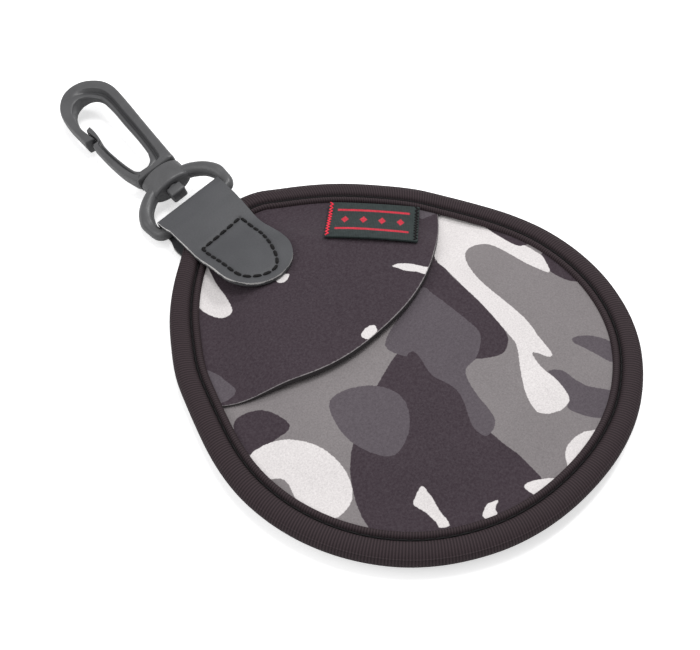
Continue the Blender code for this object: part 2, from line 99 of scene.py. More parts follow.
# Shader links that take part in sums like numbers
class Link:
    def __init__(self, tree, socket=None):
        self.tree = tree
        self.socket = socket

    def node(self, kind, settings=None, values=None, output=0):
        made = self.tree.nodes.new(kind)
        for key, value in (settings or {}).items():
            setattr(made, key, value)
        for key, value in (values or {}).items():
            if isinstance(value, Link):
                self.tree.links.new(value.socket, made.inputs[key])
            else:
                made.inputs[key].default_value = value
        return Link(self.tree, made.outputs[output])

    def maths(self, operation, *values):
        return self.node("ShaderNodeMath", {"operation": operation}, dict(enumerate(values)))

    def __add__(self, other):
        return self.maths("ADD", self, other)

    def __radd__(self, other):
        return self.maths("ADD", other, self)

    def __sub__(self, other):
        return self.maths("SUBTRACT", self, other)

    def __rsub__(self, other):
        return self.maths("SUBTRACT", other, self)

    def __mul__(self, other):
        return self.maths("MULTIPLY", self, other)

    def __rmul__(self, other):
        return self.maths("MULTIPLY", other, self)

    def __abs__(self):
        return self.maths("ABSOLUTE", self)

    def clamped(self):
        return self.node("ShaderNodeClamp", None, {"Value": self})

    def between(self, low, high, blend="MIX"):
        # This value as the share of one colour over another
        sides = [side if isinstance(side, Link) else (*side, 1) for side in (low, high)]
        return self.node("ShaderNodeMix", {"data_type": "RGBA", "blend_type": blend},
                         {0: self, 6: sides[0], 7: sides[1]}, 2)

    def attribute(self, name):
        return self.node("ShaderNodeAttribute", {"attribute_name": name}, None, "Fac")


def newLook(name, colour, roughness, **fixed):
    look = bpy.data.materials.new(name)
    look.use_nodes = True
    shader = look.node_tree.nodes["Principled BSDF"]
    shader.inputs["Base Color"].default_value = (*colour, 1)
    shader.inputs["Roughness"].default_value = roughness
    for key, value in fixed.items():
        shader.inputs[key.replace("_", " ")].default_value = value
    return look, Link(look.node_tree), shader


def feed(shader, **links):
    for key, link in links.items():
        link.tree.links.new(link.socket, shader.inputs[key.replace("_", " ")])


def objectPlace(link):
    return link.node("ShaderNodeTexCoord", None, None, "Object")


def noise(link, place, scale, detail=2.0, rough=0.5):
    return link.node("ShaderNodeTexNoise", None,
                     {"Vector": place, "Scale": scale, "Detail": detail, "Roughness": rough})


def bump(link, height, strength, distance):
    return link.node("ShaderNodeBump", None,
                     {"Height": height, "Strength": strength, "Distance": distance})


def buildStudio():
    clearSelection()
    bpy.ops.mesh.primitive_plane_add(size=studio["floorSize"])
    floor = bpy.context.object
    floor.name = "studioFloor"
    look, link, shader = newLook("floorLook", studio["floorColour"], studio["floorRoughness"],
                                 Emission_Color=(1, 1, 1, 1))
    seen = link.node("ShaderNodeLightPath", None, None, "Is Camera Ray")
    feed(shader, Emission_Strength=seen * studio["floorGlow"])
    floor.data.materials.append(look)
    for name, place, size, watts in studio["lamps"]:
        clearSelection()
        bpy.ops.object.light_add(type="AREA", location=place)
        lamp = bpy.context.object
        lamp.name = name
        lamp.data.size = size
        lamp.data.energy = watts
        lamp.rotation_euler = lookTo(place, studio["lampAim"]).to_euler()
    world = bpy.data.worlds.new("studioWorld")
    world.use_nodes = True
    sky = world.node_tree.nodes["Background"]
    sky.inputs["Color"].default_value = (1, 1, 1, 1)
    sky.inputs["Strength"].default_value = studio["worldStrength"]
    bpy.context.scene.world = world


placeCamera()
buildStudio()
print("camera and studio set")


# Modelling helpers

def mix(low, high, share):
    return low + (high - low) * share


def ease(value, start, run):
    # Rises softly from 0 at the start to 1 at the end of the run
    share = min(max((value - start) / run, 0.0), 1.0)
    return share * share * (3 - 2 * share)


def smoothPath(points, steps, closed):
    # A round curve through a list of points
    count = len(points)
    made = []
    for at in range(count if closed else count - 1):
        picks = [at - 1, at, at + 1, at + 2]
        picks = [i % count if closed else min(max(i, 0), count - 1) for i in picks]
        before, start, end, after = (Vector(points[i]) for i in picks)
        for step in range(steps):
            share = step / steps
            made.append(0.5 * (2 * start + (end - before) * share
                               + (2 * before - 5 * start + 4 * end - after) * share ** 2
                               + (3 * start - before - 3 * end + after) * share ** 3))
    if not closed:
        made.append(Vector(points[-1]))
    return made


def looped(points):
    # Each point with the one after it, the last with the first
    return zip(points, points[1:] + points[:1])


def lengthsAlong(points):
    # How far along a line each of its points lies
    runs = [0.0]
    for one, two in zip(points, points[1:]):
        runs.append(runs[-1] + (two - one).length)
    return runs


def circle(middle, side, up, radius, count):
    return [middle + (side * cos(turn) + up * sin(turn)) * radius
            for turn in (tau * at / count for at in range(count))]


def around(table, angle):
    # A value from a table that goes once round
    steps = len(table)
    at = (angle % tau) / tau * steps
    first = int(at)
    return mix(table[first % steps], table[(first + 1) % steps], at - first)


def pick(piece):
    clearSelection()
    piece.select_set(True)
    bpy.context.view_layer.objects.active = piece


def gridPiece(name, columns, rows, place):
    # A grid laid out by a function of its two shares
    clearSelection()
    bpy.ops.mesh.primitive_grid_add(x_subdivisions=columns, y_subdivisions=rows, size=1)
    piece = bpy.context.object
    piece.name = name
    piece.data.name = name
    for vertex in piece.data.vertices:
        u = round((vertex.co.x + 0.5) * columns) / columns
        v = round((vertex.co.y + 0.5) * rows) / rows
        vertex.co = place(u, v)
    return piece


def closeMesh(piece, fill=False):
    # Merges what meets, closes open ends and turns the faces outwards
    pick(piece)
    bpy.ops.object.mode_set(mode="EDIT")
    bpy.ops.mesh.select_all(action="SELECT")
    bpy.ops.mesh.remove_doubles(threshold=1e-6)
    if fill:
        bpy.ops.mesh.fill_holes(sides=0)
        bpy.ops.mesh.select_all(action="SELECT")
    bpy.ops.mesh.normals_make_consistent(inside=False)
    bpy.ops.object.mode_set(mode="OBJECT")


def modify(piece, kind, **settings):
    pick(piece)
    change = piece.modifiers.new(kind.lower(), kind)
    for key, value in settings.items():
        setattr(change, key, value)
    bpy.ops.object.modifier_apply(modifier=change.name)


def bevel(piece, width, segments, angle, **more):
    # Rounds the edges that turn by more than this angle
    modify(piece, "BEVEL", width=width, segments=segments, limit_method="ANGLE",
           angle_limit=radians(angle), **more)


def shade(piece, angle):
    pick(piece)
    bpy.ops.object.shade_smooth_by_angle(angle=radians(angle))


def applyPlace(piece):
    pick(piece)
    bpy.ops.object.transform_apply(location=True, rotation=True, scale=True)


def giveLooks(piece, *looks):
    for look in looks:
        piece.data.materials.append(look)


def pointValues(piece, attribute, values):
    # One value for each point of the mesh, which the looks read
    made = piece.data.attributes.new(attribute, "FLOAT", "POINT")
    made.data.foreach_set("value", np.array(values, np.float32))


def dress(piece, slot, nodes, body=None):
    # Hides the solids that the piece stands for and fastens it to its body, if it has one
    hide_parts(*nodes)
    if body:
        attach(piece, body)


def ringPiece(name, rings, closed, shades=None):
    # A tube of equal rings; closed joins its ends, otherwise they are filled
    across = len(rings[0])
    along = len(rings) if closed else len(rings) - 1

    def place(u, v):
        return rings[round(u * along) % len(rings)][round(v * across) % across]

    piece = gridPiece(name, along, across, place)
    if shades:
        # The grid's points run along the tube first
        spots = (divmod(at, along + 1) for at in range(len(piece.data.vertices)))
        # Painted shade for grooves, which the looks read
        pointValues(piece, "grooveShade",
                    [shades[ring % len(rings)][row % across] for row, ring in spots])
    closeMesh(piece, not closed)
    return piece


stitch = {
    "steps": 10,  # rings to a stitch
    "sides": 8,
    "steepness": 3.6,  # how soon the thread comes up out of its hole
    "roundness": 1.3,
    "smooth": 60,
    "twist": (4200, 1.0),
    "lit": (1.7, 0.002),  # a lit strand's colour: the thread's times this, plus this
    "relief": (0.5, 0.00008),
}


def seamPiece(name, slot, node, path, thread, look, up=1, closed=True):
    # A thread that dips into the cloth between its stitches
    radius, pitch, dip = thread
    points = path + path[:1] if closed else path
    runs = lengthsAlong(points)
    steps = stitch["steps"] * max(2, round(runs[-1] / pitch))
    places = []
    at = 0
    for step in range(steps if closed else steps + 1):
        far = runs[-1] * step / steps
        while at < len(runs) - 2 and far > runs[at + 1]:
            at += 1
        share = (far - runs[at]) / (runs[at + 1] - runs[at])
        point = points[at].lerp(points[at + 1], share)
        near = (step % stitch["steps"]) / stitch["steps"]
        risen = min(1.0, stitch["steepness"] * min(near, 1 - near))
        point.z -= up * dip * (1 - risen) ** stitch["roundness"]
        places.append(point)
    rings = []
    count = len(places)
    for step, point in enumerate(places):
        if closed:
            along = places[(step + 1) % count] - places[step - 1]
        else:
            along = places[min(step + 1, count - 1)] - places[max(step - 1, 0)]
        side = along.normalized().cross(Vector((0, 0, 1))).normalized()
        rings.append(circle(point, side, side.cross(along.normalized()), radius,
                            stitch["sides"]))
    seam = ringPiece(name, rings, closed)
    shade(seam, stitch["smooth"])
    giveLooks(seam, look)
    dress(seam, slot, [node], "pouch")


# Shape of the pouch, as in the solids

pouch = {
    "bodyRadius": 0.055,
    "topReach": 0.0683,
    "neoprene": 0.0018,
    "cavityHeight": 0.0044,
    "gap": 0.0003,
    "flapClear": 0.0006,
    "pressedBack": 0.0009,
    "pressedFront": 0.0013,
    "swellRun": 0.017,
    "seamClear": 0.001,
    "outline": (  # degrees from +Y, share of bodyRadius, share of the reach past it
        (0, 1.0, 1.0), (6, 1.002, 1.0), (11, 1.0, 0.94), (16, 1.0, 0.77),
        (22, 1.0, 0.61), (30, 1.0, 0.42), (40, 1.0, 0.21), (50, 1.0, 0.07),
        (60, 0.986, 0.0), (70, 0.978, 0.0), (90, 0.998, 0.0), (110, 1.012, 0.0),
        (130, 1.014, 0.0), (150, 0.998, 0.0), (180, 0.977, 0.0),
    ),
    "tape": 0.0006,
    "tapeWidth": 0.0074,
    "tapeBase": 0.0023,
    "seamInset": 0.0054,
    "edgePower": 2.25,
    "edgeSpan": 0.041,
    "edgeRise": 0.0162,
    "edgeShift": -0.003,
    "flapDip": 0.0076,
    "pocketDip": 0.0128,
    "foldY": 0.0195,
    "wave": 0.00016,  # how far the soft sheets rise and fall
    "waveRates": (190, 165, 95, 120),  # across and along, for each of two waves
    "waveShifts": (1.3, 0.4),
    "secondWave": 0.6,
    # Places along Y where a height begins to change, and over what length
    "backRise": (0.022, 0.012),
    "sharedRim": (0.006, 0.013),  # from here up the tape holds two sheets
    "pocketEnd": (0.039, 0.006),
    "flapFall": (0.034, 0.022),
    "flapDrop": 0.0021,
}
rimSteps = 1440
rimTurn = radians(1)
backRimLow = pouch["tapeBase"] + pouch["tape"] + pouch["gap"]
backRimHigh = backRimLow + pouch["pressedBack"]
frontRimLow = backRimHigh + pouch["gap"]
frontRimHigh = frontRimLow + pouch["pressedFront"]
tapeTop = frontRimHigh + pouch["gap"] + pouch["tape"]
pressedEach = (pouch["pressedFront"] - pouch["gap"]) / 2
flapFace = 3 * pouch["neoprene"] + pouch["cavityHeight"] + pouch["flapClear"]
rimKnots = [(turn, pouch["bodyRadius"] * body + (pouch["topReach"] - pouch["bodyRadius"]) * past)
            for turn, body, past in pouch["outline"]]
# The outline is its own mirror image, so one more knot past each end gives it its slope there
rimKnots = [(-rimKnots[1][0], rimKnots[1][1]), *rimKnots,
            (360 - rimKnots[-2][0], rimKnots[-2][1])]


def exactRim(angle):
    side = abs(degrees(remainder(angle, tau)))
    at = 1
    while at < len(rimKnots) - 3 and side > rimKnots[at + 1][0]:
        at += 1
    before, start, end, after = rimKnots[at - 1:at + 3]
    run = end[0] - start[0]
    share = (side - start[0]) / run
    slopeIn = (end[1] - before[1]) / (end[0] - before[0])
    slopeOut = (after[1] - start[1]) / (after[0] - start[0])
    keep = 2 * share ** 3 - 3 * share ** 2 + 1
    lead = share ** 3 - 2 * share ** 2 + share
    trail = share ** 3 - share ** 2
    return (keep * start[1] + lead * run * slopeIn + (1 - keep) * end[1] + trail * run * slopeOut)


rimTable = [exactRim(tau * step / rimSteps) for step in range(rimSteps)]


def rimRadius(angle):
    return around(rimTable, angle)


def rimPoint(angle, inset):
    # A point at the edge, moved in along the edge's normal
    point, ahead, behind = (Vector((sin(a), cos(a))) * rimRadius(a)
                            for a in (angle, angle + rimTurn, angle - rimTurn))
    along = (ahead - behind).normalized()
    return point + Vector((along.y, -along.x)) * inset


def depth(x, y):
    # How far a point lies in from the edge
    angle = atan2(x, y)
    radius = rimRadius(angle)
    slope = (rimRadius(angle + rimTurn) - rimRadius(angle - rimTurn)) / (2 * rimTurn)
    return (radius - hypot(x, y)) * radius / hypot(radius, slope)


def swell(x, y):
    return ease(depth(x, y), pouch["tapeWidth"] + pouch["seamClear"], pouch["swellRun"])


def softWave(x, y):
    # The slight unevenness of foam that has been sewn and pressed
    (a, b, c, d), (across, along) = pouch["waveRates"], pouch["waveShifts"]
    rolling = (sin(x * a + across) * sin(y * b + along)
               + pouch["secondWave"] * sin(x * c - y * d))
    return pouch["wave"] * swell(x, y) * rolling


def edgeLine(x, dip):
    across = abs(x - pouch["edgeShift"]) / pouch["edgeSpan"]
    return dip + pouch["edgeRise"] * across ** pouch["edgePower"]


def backLift(y):
    return pouch["tapeBase"] * ease(y, *pouch["backRise"])


def backLow(x, y):
    return mix(backRimLow, backLift(y), swell(x, y))


def backHigh(x, y):
    return mix(backRimHigh, backLift(y) + pouch["neoprene"], swell(x, y))


def pocketLow(x, y):
    inside = pouch["neoprene"] + pouch["cavityHeight"]
    return mix(frontRimLow, inside, swell(x, y)) + softWave(x, y)


def pocketRim(y):
    # In the tape the pocket is pressed to half its room where the flap shares it
    return mix(frontRimHigh, frontRimLow + pressedEach, ease(y, *pouch["sharedRim"]))


def pocketHigh(x, y):
    inside = 2 * pouch["neoprene"] + pouch["cavityHeight"]
    return mix(pocketRim(y), inside, swell(x, y)) + softWave(x, y)


def flapInside(y):
    return flapFace - pouch["flapDrop"] * ease(y, *pouch["flapFall"])


def flapLow(x, y):
    rim = mix(pocketRim(y) + pouch["gap"], frontRimLow, ease(y, *pouch["pocketEnd"]))
    return mix(rim, flapInside(y) - pouch["neoprene"], swell(x, y)) + softWave(x, y)


def flapHigh(x, y):
    rim = mix(frontRimHigh + pouch["gap"] + pouch["neoprene"], frontRimHigh,
              ease(y, *pouch["sharedRim"]))
    return mix(rim, flapInside(y), swell(x, y)) + softWave(x, y)


# Printed neoprene sheets

prints = {
    "Grey": (0.231, 0.211, 0.214),
    "Dusk": (0.099, 0.083, 0.096),
    "Ink": (0.043, 0.029, 0.038),
    "Pale": (0.775, 0.74, 0.735),
    "CutHighlight": (0.26, 0.24, 0.245),  # painted highlight along the flap's cut edge
    "cutHighlightWidth": 0.00025,
    "worn": (0.35, 0.34, 0.36),  # what the darker grains are multiplied by
    "lint": (0.03, 0.028, 0.03),  # what the pale flecks add
    "grain": (2600, 3.0, 0.65),  # a noise's scale, detail and roughness
    "cloud": (60, 2.0),
    "fleck": (1700, 3.0, 0.75),
    "ragged": (1500, 1.0),
    "wales": 2300,
    "relief": (0.35, 0.00012),  # a bump's strength and distance
    "edgeSoft": 0.00016,
    "edgeRagged": 0.00035,
    "firstHeight": 0.009,  # where the search for a seen point of a sheet begins
}
# Outlines of each tone, as points of the 700 by 650 picture that the camera gives
pocketPrint = {
    "Ink": (
        ((434, 255), (448, 272), (463, 286), (478, 300), (493, 316), (507, 334), (507, 347),
         (503, 353), (492, 357), (473.5, 358.4), (477, 349), (478, 334), (465, 322), (448, 308),
         (432, 296), (418, 290)),
        ((235, 420), (262, 410), (290, 425), (275, 440), (250, 455), (238, 445)),
        ((398, 352), (415, 352), (430, 366), (450, 376), (466, 392), (476, 412), (484, 430),
         (491, 433), (503, 443), (519, 455), (533, 468.7), (542, 479),
         (552, 500), (530, 530), (480, 560), (420, 560), (370, 530), (350, 470), (365, 410)),
        ((475, 222), (486, 219), (500, 221), (522, 232), (528, 243), (519.5, 246),
         (510, 242.5), (492, 232), (478, 225)),
        ((541, 254), (556, 255), (575, 266), (583, 280), (571, 281), (558, 276), (548, 269)),
    ),
    "Dusk": (
        ((475, 359.5), (466.6, 367.6), (466.6, 376.8), (475.8, 393), (487, 406.7),
         (494.6, 418), (494.6, 426), (490.7, 433), (485, 436), (478, 432), (472, 425),
         (467.7, 413.5), (464, 402), (457.4, 390.6), (446, 382.5), (434.4, 376.8),
         (427.6, 370), (420.7, 358.4), (413.8, 351.5), (409, 352.7), (404, 356), (385, 345),
         (400, 315), (421, 288), (433, 294), (449.5, 306), (467, 320), (480, 333), (479, 350)),
        ((547, 372), (554, 369.5), (564, 371), (574.5, 379), (588, 386), (610, 390),
         (630, 398), (626, 420), (602, 418), (590.6, 417), (579, 413.5), (567.6, 408),
         (569, 400), (566.5, 392), (556, 379)),
        ((572, 339), (578, 336), (590, 335.5), (602, 338), (614, 343), (630, 350), (614, 362),
         (598, 355), (584, 347.5), (575, 343.5)),
        ((330, 400), (365, 385), (400, 395), (410, 425), (395, 455), (365, 450), (340, 430)),
    ),
    "Pale": (
        ((440, 205), (462, 211), (478, 221), (492, 232), (510, 242.5), (519.5, 246),
         (525, 245.5), (538, 253), (543.5, 257.5), (550, 272), (538, 268.5), (524, 262),
         (510, 254), (499, 248), (487, 244), (476, 245), (468, 249), (465, 256), (469, 266.6),
         (478, 278), (486, 285.6), (500, 297), (517, 311), (530, 324), (538, 335.5),
         (549, 349), (552.7, 356), (547, 356.5), (538, 353), (532, 352.5), (536.6, 361),
         (544.7, 370), (556, 379), (566.5, 392), (569.5, 400), (567.6, 404), (561, 410),
         (549, 413.5), (538, 412), (531, 404), (525, 390.6), (520.5, 370), (518, 351.5),
         (515, 342), (507.5, 333), (493, 316), (478, 300), (463, 286), (446, 269), (434, 257),
         (436, 235)),
        ((610, 426), (595, 430), (583.7, 432), (572, 440), (565.8, 450), (566.5, 461.8),
         (571, 470), (590, 474), (615, 450)),
        ((524, 487), (528.6, 482.4), (540, 479.4), (557, 478.5), (562, 488), (548, 500),
         (533, 494)),
        ((482.7, 516), (485, 507.7), (488.4, 503.6), (498.7, 500), (495, 507.7), (497, 514),
         (490, 520)),
        ((419.7, 488), (421, 486.4), (424, 486.8), (427, 490.6), (433.5, 499.8), (440, 511),
         (450, 525), (439.6, 527.6), (436.5, 522.7), (431, 517.4), (425, 512), (418, 508),
         (414, 505), (413.6, 501)),
        ((250, 455), (280, 440), (318, 446), (345, 470), (352, 500), (330, 520), (300, 505),
         (285, 480), (262, 478)),
    ),
}
flapPrint = {
    "Dusk": (
        # The first outline here is painted shadow in the gap at the flap's edge
        ((372, 349), (374, 340), (383, 334), (392, 336), (389, 345), (380, 351)),
        ((204, 372), (216, 374), (226, 381), (236, 391), (224, 402), (205, 404)),
        ((417, 211), (421, 208), (438, 210), (437, 213), (427, 217), (421, 218.7)),
    ),
    "Pale": (
        ((392, 266), (396.6, 264), (402, 263.3), (412, 264), (421.5, 266), (429, 268),
         (425, 274), (418, 272), (405.5, 270.4), (396, 267.5)),
        ((199, 258), (207, 266), (216, 283), (228, 300), (232, 312), (222, 318), (204, 312),
         (196, 300), (193, 275)),
        ((276, 280), (281, 275), (289, 274), (287, 280), (280, 283)),
        ((361, 336), (366, 328), (374, 325), (377, 331), (371, 339)),
    ),
}


def jerseyLook(name, ground, *tones):
    # Knitted face over foam: a ground tone, and the tones laid on it in order: print, and on the
    # flap also painted shadow and a painted highlight
    look, link, shader = newLook(name, (0.2, 0.2, 0.2), 0.82, Sheen_Weight=0.05,
                                 Sheen_Roughness=0.45, Specular_IOR_Level=0.2)
    place = objectPlace(link)
    grain = noise(link, place, *prints["grain"])
    cloud = noise(link, place, *prints["cloud"])
    colour = prints[ground]
    for tone in tones:
        ragged = (noise(link, place, *prints["ragged"]) - 0.5) * prints["edgeRagged"]
        inside = (link.attribute("print" + tone) + ragged) * (1 / prints["edgeSoft"]) + 0.5
        colour = inside.clamped().between(colour, prints[tone])
    grains = ((grain - 0.5) * 0.9 + (cloud - 0.5) * 0.25 + 0.16).clamped()
    flecks = ((noise(link, place, *prints["fleck"]) - 0.5) * 2.4 + 0.3).clamped()
    darker = grains.between(colour, prints["worn"], "MULTIPLY")
    wales = link.node("ShaderNodeTexVoronoi", None, {"Vector": place, "Scale": prints["wales"]})
    feed(shader, Base_Color=flecks.between(darker, prints["lint"], "ADD"),
         Roughness=grain * 0.2 + 0.72,
         Normal=bump(link, wales * 0.6 + grain * 0.6, *prints["relief"]))
    return look


panel = {
    "reachSteps": 720,
    "halvings": 22,
    "farthest": 0.13,
    "cornerRound": 0.0004,
    "cornerAngle": 55,
    "smooth": 50,
    "cells": (3800, 2.0),
    "foamTones": ((0.012, 0.01, 0.011), (0.055, 0.048, 0.052)),
    "foamRelief": (0.5, 0.00012),
    "grids": {  # steps across, and the point that they spread from
        "backSheet": (90, (0, 0)),
        "pocketSheet": (170, (0, -0.016)),
        "frontFlap": (190, (-0.002, 0.036)),
    },
}


def foamLook():
    look, link, shader = newLook("cutFoam", (0.03, 0.027, 0.029), 0.9)
    cells = noise(link, objectPlace(link), *panel["cells"])
    feed(shader, Base_Color=cells.between(*panel["foamTones"]),
         Normal=bump(link, cells, *panel["foamRelief"]))
    return look


def reachTable(centre, inside):
    # Distance from a centre to the edge of a region, all the way round
    made = []
    for step in range(panel["reachSteps"]):
        turn = tau * step / panel["reachSteps"]
        low, high = 0.0, panel["farthest"]
        for _ in range(panel["halvings"]):
            middle = (low + high) / 2
            if inside(centre[0] + middle * cos(turn), centre[1] + middle * sin(turn)):
                low = middle
            else:
                high = middle
        made.append(low)
    return made


def panelPiece(name, inside, low, high, looks):
    count, centre = panel["grids"][name]
    reach = reachTable(centre, inside)

    def place(u, v):
        # The grid's square turned into a disc, and the disc stretched to the edge
        a, b = 2 * u - 1, 2 * v - 1
        if abs(a) < 1e-9 and abs(b) < 1e-9:
            return centre[0], centre[1], 0
        if abs(a) > abs(b):
            out, turn = a, pi / 4 * b / a
        else:
            out, turn = b, pi / 2 - pi / 4 * a / b
        x, y = out * cos(turn), out * sin(turn)
        far = around(reach, atan2(y, x))
        return centre[0] + x * far, centre[1] + y * far, 0

    piece = gridPiece(name, count, count, place)
    giveLooks(piece, *looks)
    modify(piece, "SOLIDIFY", thickness=pouch["neoprene"], offset=-1, use_rim=True,
           material_offset_rim=1)
    for vertex in piece.data.vertices:
        x, y, z = vertex.co
        vertex.co.z = high(x, y) if z > -pouch["neoprene"] / 2 else low(x, y)
    bevel(piece, panel["cornerRound"], 2, panel["cornerAngle"])
    shade(piece, panel["smooth"])
    return piece


def onSurface(pixel, height):
    # The point of a surface that a place in the picture shows
    focal = camera["lens"] / camera["sensor"] * camera["width"]
    eye = Vector(camera["place"])
    ray = lookTo(eye, camera["aim"]) @ Vector(((pixel[0] - camera["width"] / 2) / focal,
                                               (camera["height"] / 2 - pixel[1]) / focal, -1))
    z = prints["firstHeight"]
    for _ in range(4):
        point = eye + ray * ((z - eye.z) / ray.z)
        z = height(point.x, point.y)
    return point.x, point.y


def insideBy(points, outline):
    # How far each point lies inside a closed outline, less than zero outside it
    best = np.full(len(points), 1.0)
    hit = np.zeros(len(points), bool)
    for start, end in looped([np.array(point[:2]) for point in outline]):
        run = end - start
        offset = points - start
        share = np.clip(offset @ run / max(run @ run, 1e-14), 0, 1)
        best = np.minimum(best, np.hypot(*(offset - share[:, None] * run).T))
        crosses = (start[1] > points[:, 1]) != (end[1] > points[:, 1])
        slope = run[0] / (run[1] if abs(run[1]) > 1e-12 else 1e-12)
        hit ^= crosses & (points[:, 0] < start[0] + (points[:, 1] - start[1]) * slope)
    return np.where(hit, best, -best)


def printOn(piece, attribute, seen, height):
    points = np.array([vertex.co[:2] for vertex in piece.data.vertices])
    best = np.full(len(points), -1.0)
    for outline in seen:
        curve = smoothPath([(*onSurface(pixel, height), 0) for pixel in outline], 4, True)
        best = np.maximum(best, insideBy(points, curve))
    pointValues(piece, attribute, best)


def sheetPiece(name, covers, low, high, looks, outlines):
    inset = pouch["tape"] + pouch["gap"]
    piece = panelPiece(name, lambda x, y: depth(x, y) > inset and covers(x, y), low, high, looks)
    for tone, seen in outlines.items():
        printOn(piece, "print" + tone, seen, high)
    return piece


def buildSheets():
    foam = foamLook()
    back = sheetPiece("backSheet", lambda x, y: True, backLow, backHigh,
                      (jerseyLook("jerseyBack", "Ink"), foam), {})
    dress(back, "neoprene_back", ["back_panel"], "pouch")

    pocket = sheetPiece(
        "pocketSheet", lambda x, y: y < edgeLine(x, pouch["pocketDip"]), pocketLow, pocketHigh,
        (jerseyLook("jerseyPocket", "Grey", *pocketPrint), foam), pocketPrint)
    dress(pocket, "neoprene_camo", ["pocket_panel"], "pouch")

    flap = sheetPiece(
        "frontFlap", lambda x, y: y > edgeLine(x, pouch["flapDip"]), flapLow, flapHigh,
        (jerseyLook("jerseyFlap", "Ink", *flapPrint, "CutHighlight"), foam), flapPrint)
    # A thin painted highlight along the flap's cut edge
    pointValues(flap, "printCutHighlight", [
        prints["cutHighlightWidth"] - vertex.co.y + edgeLine(vertex.co.x, pouch["flapDip"])
        for vertex in flap.data.vertices])
    dress(flap, "neoprene_flap", ["flap_base", "flap_tongue"])
    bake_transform(flap)


buildSheets()
print("sheets made")


# Binding tape and its seams

binding = {
    "steps": 360,
    "ribs": 0.00068,  # from rib to rib, across the tape
    "face": (  # inset, height over the flat top: from the inner edge to the outer corner
        (0.00742, -0.00092), (0.00738, -0.0006), (0.00722, -0.00024), (0.0069, 0.00004),
        (0.00645, 0.00008), (0.00608, -0.0001), (0.00578, -0.00048), (0.00556, -0.00076),
        (0.0054, -0.00084), (0.00524, -0.00076), (0.005, -0.0004), (0.00466, 0.00002),
        (0.00425, 0.0002), (0.0037, 0.00028), (0.003, 0.00028), (0.0023, 0.00016),
        (0.00165, -0.00008), (0.0011, -0.0004), (0.0006, -0.00082), (0.0002, -0.00132),
    ),
    "creaseShadeInset": 0.0054,  # painted shade lies along this line, where the seam has pulled the tape in
    "creaseShadeWidth": 0.00062,
    "grooveWidth": 0.0006,
    "grooveDrop": 0.00045,
    "wallClear": 0.0002,
    "ribInset": 0.003,  # the ribs are spaced evenly along this line
    "puff": 0.012,  # how much the tape's swell comes and goes along it
    "puffs": (23, 7),
    "smooth": 50,
    "thread": (0.00022, 0.0027, 0.00035),  # radius, stitch length, dip between stitches
    "threadDrop": 0.00058,  # the threads' middle lies this far in from the tape's face
    "wobble": (260, 1.0),
    "fuzz": (3200, 2.0, 0.6),
    "relief": (0.45, 0.00018),
    "ribDark": (0.0095, 0.0063, 0.0072),
    "ribLight": (0.056, 0.038, 0.0435),
    "creaseShadeTone": (0.0035, 0.0025, 0.003),
}


def tapeLook():
    look, link, shader = newLook("grosgrainTape", (0.032, 0.022, 0.025), 0.75,
                                 Specular_IOR_Level=0.2)
    place = objectPlace(link)
    turns = link.attribute("ribPlace") * (tau / binding["ribs"])
    wobble = noise(link, place, *binding["wobble"]) * 0.35
    rib = link.maths("SINE", turns + wobble) * 0.5 + 0.5
    fuzz = noise(link, place, *binding["fuzz"])
    face = (rib * 0.6 + fuzz * 0.4).clamped().between(binding["ribDark"], binding["ribLight"])
    # Painted shade in the seam's crease darkens the tape there
    creaseShade = (link.attribute("grooveShade") * 0.9).clamped()
    feed(shader, Base_Color=creaseShade.between(face, binding["creaseShadeTone"]),
         Roughness=fuzz * 0.25 + 0.62,
         Normal=bump(link, rib + fuzz * 0.35, *binding["relief"]))
    return look


def threadLook(name, colour, shine):
    look, link, shader = newLook(name, colour, shine, Specular_IOR_Level=0.2)
    twist = noise(link, objectPlace(link), *stitch["twist"])
    times, plus = stitch["lit"]
    lit = [min(1.0, value * times + plus) for value in colour]
    feed(shader, Base_Color=twist.between(colour, lit),
         Normal=bump(link, twist, *stitch["relief"]))
    return look


